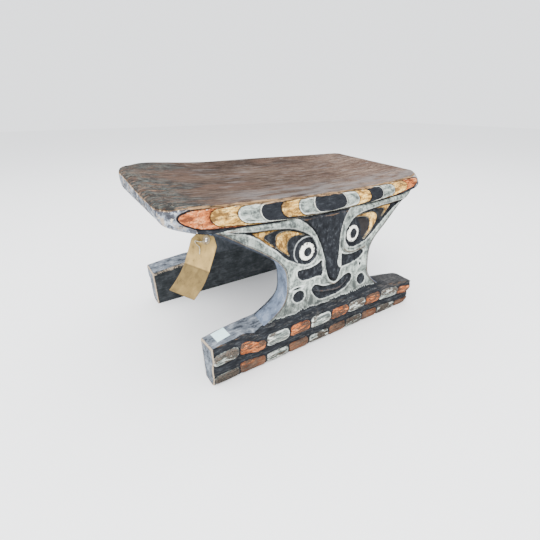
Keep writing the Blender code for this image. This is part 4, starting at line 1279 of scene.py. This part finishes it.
def runner_material(name):
    g = Paint(name, BLACK[1], (15.0, 4.0, 3.6), (17.0, 3.2, 2.7), SCUFFED_BLUE, 0.7)
    wood, grain = g.bare_wood(WOOD)
    # painted light: the inner faces get a lighter black and twice the brightness from the middle rightwards,
    # fading to no change at the left end, against the shade under the seat
    g.lay(g.spread(g.weigh((g.brush, 0.4), (g.blotch, 0.6)), (0.017, 0.020, 0.021), (0.026, 0.029, 0.031),
                   (0.044, 0.048, 0.051)), g.attr("inside"), 0.75)
    g.tint(g.mix(g.attr("inside"), (1.0, 1.0, 1.0), g.grey(g.step(g.axis(0), -0.16, 0.0, 0.50, 1.0))))
    g.tint(g.mix(g.attr("inside"), (1.0, 1.0, 1.0), (2.0, 2.0, 2.0)))
    g.warm()
    brick = g.math("MAXIMUM", g.attr("grey"), g.attr("orange"))
    patch = g.noise((34.0, 20.0, 16.0), 1.0, 7.0)
    chipped = g.noise((15.0, 8.0, 5.0), 5.0, 34.0, 0.70, 0.3)
    flaked = g.step(g.weigh((chipped, 0.6), (g.scratch, 0.2), (patch, 0.35),
                            g.step(g.axis(0), -0.165, -0.155, 0.07, 0.0),
                            g.step(g.axis(2), 0.016, 0.026, 0.03, 0.0)), 0.572, 0.598)
    g.lay(g.mix(g.step(g.speck, 0.42, 0.58), (0.020, 0.017, 0.015), (0.085, 0.058, 0.042)),
          g.step(brick, -0.2, 0.5), flaked, 0.92)
    light = g.times(g.step(g.attr("grey"), 0.6, 1.4), g.step(g.weigh(g.brush, (patch, 0.3)), 0.63, 0.70))
    g.lay((0.66, 0.68, 0.60), light, g.fall(flaked, 0.1, 0.5), 0.85)
    # the lowest part of the face darker and browner towards the floor
    low_row = g.step(g.axis(2), 0.014, 0.024, 0.27, 1.0)
    low_orange = g.times(g.step(g.attr("orange"), -0.5, 0.5), g.fall(low_row, 0.3, 0.95))
    g.lay(g.spread(chipped, (0.035, 0.027, 0.022), (0.105, 0.074, 0.056), (0.21, 0.115, 0.070)), low_orange,
          0.75)
    low_face = g.times(g.step(brick, -0.8, 0.0), g.fall(g.axis(2), 0.016, 0.026))
    g.tint(g.step(low_face, 0.0, 1.0, 1.0, 0.68))
    band = g.times(g.fall(brick, -0.8, 0.0), g.fall(g.attr("blue"), -0.5, 0.0),
                   g.fall(g.attr("inside"), 0.2, 0.8))
    g.lay((0.076, 0.072, 0.064), band, g.step(chipped, 0.54, 0.64, 0.0, 0.45))
    # the top of the runner's right part painted a paler grey-black
    pale_right_top = g.times(g.step(g.axis(0), 0.09, 0.13), g.step(g.axis(2), 0.046, 0.054))
    g.lay(g.spread(g.scratch, (0.035, 0.033, 0.032), (0.085, 0.080, 0.077), (0.15, 0.14, 0.135)), pale_right_top,
          0.32)
    shown = g.step(g.add(g.attr("bare"), g.swing(g.scratch, 2.0), g.swing(g.blotch, 1.0)), 0.42, 0.62)
    shown = g.times(shown, g.step(g.attr("bare"), 0.03, 0.25))
    g.lay(wood, shown, 0.9)
    worn = g.step(g.weigh(g.attr("cav"), (g.speck, 1.0), (g.scratch, 0.9)), 1.7, 2.1)
    g.lay(wood, worn, 0.75)
    rubbed = g.step(g.weigh(g.attr("rub"), (g.speck, 0.9), (g.blotch, 0.7)), 1.30, 1.46)
    g.lay((0.42, 0.34, 0.25), rubbed, 0.85)
    # painted shade: the colour darkened in the carved grooves
    g.tint(g.step(g.attr("cav"), -1.1, -0.1, 0.55, 1.0))
    return g.finish(g.colour, g.step(g.tone, 0.3, 0.7, 0.66, 0.84), g.relief(grain), 0.5, 0.7, 0.06)


def seat_material(name):
    g = Paint(name, WOOD[1], (15.0, 7.0, 5.6), (13.0, 5.0, 3.8), SCUFFED_BLUE, 0.5)
    big = g.noise((110.0, 60.0, 60.0), 3.0, 11.0, 0.5, 0.5)
    streak = g.noise((44.0, 3.4, 6.0), 4.0, 12.0, 0.62, 0.2)
    grain = g.noise((17.0, 1.5, 3.0), 4.0, 13.0, 0.66, 0.2)
    fine = g.noise((6.0, 0.8, 1.2), 3.0, 10.0, 0.65)
    tone = g.weigh((streak, 0.26), (grain, 0.36), (big, 0.20), (fine, 0.18))
    top = g.mix(g.step(tone, 0.43, 0.505), SEAT_TONES[0], SEAT_TONES[1])
    top = g.mix(g.step(tone, 0.495, 0.575), top, SEAT_TONES[2])
    top = g.shade(g.step(g.axis(0), -0.02, 0.16, 0.82, 1.65), top)
    red = g.step(g.noise((70.0, 30.0, 30.0), 2.0, 14.0), 0.48, 0.64, 0.0, 0.55)
    top = g.mix(red, top, g.three(grain, (0.03, 0.016, 0.011), (0.075, 0.043, 0.031), (0.13, 0.085, 0.065)))
    veil = g.step(g.noise((36.0, 9.0, 20.0), 4.0, 15.0, 0.65), 0.50, 0.68, 0.0, 0.5)
    top = g.over(top, (0.165, 0.150, 0.145), veil, g.step(grain, 0.35, 0.6))
    haze = g.times(g.step(g.axis(1), -0.045, -0.100), g.step(g.noise((40.0, 16.0, 20.0), 3.0, 35.0), 0.36,
                                                             0.60))
    top = g.over(top, g.mix(grain, (0.085, 0.078, 0.078), (0.21, 0.195, 0.19)), haze,
                 g.step(g.axis(0), -0.16, -0.08), 0.6)
    line = g.step(g.noise((34.0, 1.5, 3.0), 2.0, 16.0, 0.5, 0.3), 0.63, 0.71, 0.0, 0.75)
    top = g.mix(line, top, (0.018, 0.013, 0.011))
    g.lay(g.three(g.scratch, *BLACK), g.zone("ink"))
    g.warm()
    hatch = g.step(g.noise((22.0, 20.0, 3.6), 4.0, 38.0, 0.66, 0.8), 0.565, 0.62)
    tongue = g.step(g.math("MAXIMUM", g.attr("grey"), g.math("MAXIMUM", g.attr("ochre"), g.attr("orange"))),
                    0.2, 1.0)
    g.lay((0.045, 0.038, 0.032), hatch, tongue, 0.6)
    cream = g.step(g.weigh(g.attr("lines"), (g.ragged, 0.6)), -0.15, 0.35)
    g.lay((0.55, 0.54, 0.46), cream, g.step(g.blotch, 0.3, 0.5, 0.45, 0.95))
    wood, _ = g.bare_wood(((0.07, 0.042, 0.025), (0.29, 0.175, 0.085), (0.44, 0.30, 0.17)))
    far_left = g.fall(g.add(g.axis(0), g.swing(big, 0.25)), -0.205, -0.135)
    remains = g.step(g.weigh((g.noise((14.0, 3.6, 9.0), 5.0, 17.0, 0.72), 0.6), (g.blotch, 0.4)), 0.47,
                     0.53)
    smudge = g.step(g.noise((30.0, 14.0, 20.0), 5.0, 9.0, 0.72), 0.42, 0.52, 0.0, 0.95)
    top = g.over(top, (0.022, 0.021, 0.020), far_left, smudge)
    olive = g.spread(g.noise((9.0, 3.0, 5.0), 4.0, 20.0, 0.7), (0.018, 0.020, 0.022), (0.045, 0.050, 0.046),
                     (0.115, 0.125, 0.112))
    top = g.over(top, olive, far_left, remains, 0.62)
    rust = g.step(g.noise((19.0, 3.0, 8.0), 4.0, 23.0, 0.7), 0.58, 0.64)
    top = g.over(top, (0.20, 0.115, 0.072), g.fall(g.axis(0), -0.200, -0.125), rust, 0.7)
    gold = g.step(g.noise((3.4, 2.0, 2.0), 3.0, 24.0, 0.6), 0.62, 0.68)
    top = g.over(top, (0.27, 0.23, 0.17), g.fall(g.axis(0), -0.212, -0.165), gold, 0.6)
    g.lay(top, g.attr("top"))
    shown = g.step(g.add(g.attr("bare"), g.swing(g.scratch, 1.6), g.swing(g.blotch, 1.0)), 0.40, 0.66)
    shown = g.times(shown, g.step(g.attr("bare"), 0.03, 0.25))
    g.lay(wood, shown, 0.85)
    burnt = g.step(g.noise((12.0, 8.0, 4.0), 4.0, 36.0, 0.7), 0.50, 0.58)
    g.lay((0.034, 0.028, 0.024), g.step(g.attr("bare"), 0.2, 0.5), burnt, 0.75)
    blue_part = g.step(g.attr("blue"), -0.2, 1.0)
    scuffed = g.noise((10.0, 10.0, 14.0), 5.0, 18.0, 0.70)
    g.lay((0.21, 0.165, 0.12), blue_part, g.step(scuffed, 0.535, 0.60), 0.8)
    g.lay((0.024, 0.024, 0.028), blue_part, g.fall(scuffed, 0.45, 0.50), 0.85)
    chips = g.step(g.noise(5.0, 4.0, 19.0, 0.66), 0.60, 0.65)
    g.lay((0.42, 0.38, 0.30), blue_part, chips, 0.8)
    g.tint(g.step(g.attr("blue"), -0.2, 1.0, 1.0, 1.5))
    # painted shade darkening the cracks of the top and the grooves of the rim; on the rim this also draws the
    # dark outlines between the painted patches
    g.tint(g.step(g.attr("cav"), -1.0, 0.0, 0.28, 1.0))
    height = g.weigh((grain, 1.0), (fine, 0.7), (g.speck, 0.25), (g.brush, 0.3))
    return g.finish(g.colour, g.step(tone, 0.35, 0.65, 0.55, 0.75), height, 0.6, 0.7, 0.02)


def card_material(name):
    g = Graph(name)
    fibre = g.noise((0.5, 0.5, 2.6), 3.0, 21.0)
    soil = g.noise(11.0, 4.0, 22.0)
    colour = g.three(g.weigh((fibre, 0.35), (soil, 0.9), -0.12), (0.17, 0.112, 0.042), (0.34, 0.226, 0.076),
                     (0.43, 0.290, 0.100))
    # painted light and shade of crinkles in the card
    crinkle_light_and_shade = g.noise((9.0, 9.0, 22.0), 3.0, 37.0, 0.55, 0.5)
    colour = g.shade(g.step(crinkle_light_and_shade, 0.36, 0.64, 0.84, 1.12), colour)
    # painted shade: a dark line along the fold crease
    crease = g.step(g.attr("fold"), 0.2, 1.6, 0.55, 0.0)
    colour = g.mix(crease, colour, (0.08, 0.05, 0.022))
    # below the fold the card is darker, partly painted shade of the fold and partly soiling, and lighter
    # again towards its bottom end as painted light; above the fold it is a little lighter
    lower = g.times(g.step(g.attr("down"), -32.0, -30.6, 0.42, 1.10),
                    g.step(g.attr("down"), -66.0, -40.0, 1.3, 1.0))
    colour = g.shade(lower, colour)
    rub = g.times(g.fall(g.attr("edge"), 0.0, 1.6), g.step(soil, 0.42, 0.58))
    colour = g.over(colour, (0.10, 0.065, 0.03), rub, 0.5)
    return g.finish(colour, 0.84, g.weigh((fibre, 0.6), (soil, 0.8)), 0.12, 0.5, 0.3)


def paper_material(name, dark, light, rough):
    g = Graph(name)
    soil = g.noise(4.0, 4.0, 25.0)
    fibre = g.noise(0.5, 2.0, 26.0)
    colour = g.mix(g.step(g.weigh((soil, 0.8), (fibre, 0.2)), 0.40, 0.52), dark, light)
    rub = g.times(g.fall(g.attr("edge"), 0.0, 1.4), g.step(soil, 0.45, 0.6))
    colour = g.over(colour, tuple(0.55 * c for c in dark), rub, 0.6)
    return g.finish(colour, rough, g.add(fibre, soil), 0.08, 0.4, 0.35)


def string_material(name):
    g = Graph(name)
    soil = g.noise(3.0, 3.0, 27.0)
    colour = g.mix(g.step(soil, 0.35, 0.6), (0.28, 0.23, 0.15), (0.62, 0.57, 0.43))
    # painted shade in the grooves between the twisted strands
    colour = g.shade(g.step(g.attr("twist"), -0.6, 0.4, 0.8, 1.0), colour)
    return g.finish(colour, 0.92, g.noise(0.25, 2.0, 28.0), 0.1, 0.6, 0.25)


def steel_material(name):
    g = Graph(name)
    rust = g.noise(1.6, 4.0, 29.0)
    colour = g.mix(g.step(rust, 0.48, 0.64), (0.16, 0.16, 0.17), (0.20, 0.10, 0.055))
    g.shader.inputs["Metallic"].default_value = 0.75
    return g.finish(colour, g.step(rust, 0.4, 0.6, 0.38, 0.7), rust, 0.05, 0.5, 0.5)


def floor_material():
    g = Graph("floor_paper")
    soft = g.noise(60.0, 3.0, 31.0)
    return g.finish(g.mix(soft, (0.90, 0.90, 0.90), (0.92, 0.92, 0.92)), 0.9, None, specular=0.0)


# ---------------------------------------------------------------- putting it together

RING_TONES = ((0.20, 0.14, 0.065), (0.36, 0.28, 0.16), 0.85)
LABEL_TONES = ((0.66, 0.93, 0.97), (0.74, 1.0, 1.0), 0.6)
for piece, material, slot, body, node in (
        (build_seat(), seat_material, "seat_wood", "carving", "seat_slab"),
        (build_panel("front_panel_carved", -1), panel_material, "panel_paint", "carving", "front_panel"),
        (build_panel("rear_panel_carved", 1), panel_material, "panel_paint_rear", "carving", "rear_panel"),
        (build_runner("front_runner_carved", -1), runner_material, "runner_paint", "carving", "front_runner"),
        (build_runner("rear_runner_carved", 1), runner_material, "runner_paint_rear", "carving",
         "rear_runner"),
        (build_tag(), card_material, "tag_card", "tag", "paper_tag"),
        (build_ring(), paper_material, "ring_paper", "tag", "tag_reinforcement_ring"),
        (build_tack(), steel_material, "tack_steel", "carving", "underside_tack"),
        (build_sticker(), paper_material, "sticker_paper", "carving", "inventory_sticker")):
    tones = {"ring_paper": RING_TONES, "sticker_paper": LABEL_TONES}.get(slot, ())
    piece.data.materials.append(material(slot, *tones))
    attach(piece, body)
    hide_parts(node)

string, string_path = build_string()
string.data.materials.append(string_material("string_cotton"))
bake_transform(string)
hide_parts("tag_string")
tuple(string_path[0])


# ---------------------------------------------------------------- studio

def build_floor():
    half, cells = 6.0, 12
    line = np.linspace(-half, half, cells + 1)
    mesh = bpy.data.meshes.new("floor")
    faces = quads(np.arange((cells + 1) ** 2).reshape(cells + 1, cells + 1))
    mesh.from_pydata([(x, y, 0.0) for x in line for y in line], [], [f[::-1] for f in faces])
    mesh.materials.append(floor_material())
    obj = link(bpy.data.objects.new("floor", mesh))


def area_light(name, at, size, power, colour=(1.0, 1.0, 1.0)):
    data = bpy.data.lights.new(name, "AREA")
    data.shape = "RECTANGLE"
    data.size = data.size_y = size
    data.energy = power
    data.color = colour
    obj = link(bpy.data.objects.new(name, data))
    obj.location = at
    obj.rotation_euler = (LIGHT_TARGET - Vector(at)).to_track_quat("-Z", "Y").to_euler()


LIGHT_TARGET = Vector((0.0, 0.0, 0.12))
WORLD_COLOUR = (0.95, 0.97, 1.0, 1.0)
WORLD_STRENGTH = 2.1
build_floor()
area_light("key", (-0.9, -1.3, 1.6), 1.3, 75.0)
area_light("top", (0.3, 0.4, 1.9), 2.0, 30.0)
area_light("left_fill", (-1.9, 0.3, 0.8), 1.4, 12.0, (0.90, 0.95, 1.0))
world = bpy.data.worlds.new("studio")
world.use_nodes = True
sky = world.node_tree.nodes["Background"].inputs
sky[0].default_value = WORLD_COLOUR
sky[1].default_value = WORLD_STRENGTH
bpy.context.scene.world = world

CAMERA_AT = (-0.3108, -0.5002, 0.3416)
CAMERA_DOWN = 0.445
CAMERA_TURN = 0.619
camera_data = bpy.data.cameras.new("camera")
camera_data.sensor_width = 36.0
camera_data.lens = 23.186
camera_data.shift_x = -0.0556
camera_data.clip_start = 0.01
camera = link(bpy.data.objects.new("camera", camera_data))
camera.location = CAMERA_AT
camera.rotation_euler = (pi / 2 - CAMERA_DOWN, 0.0, -CAMERA_TURN)
bpy.context.scene.camera = camera
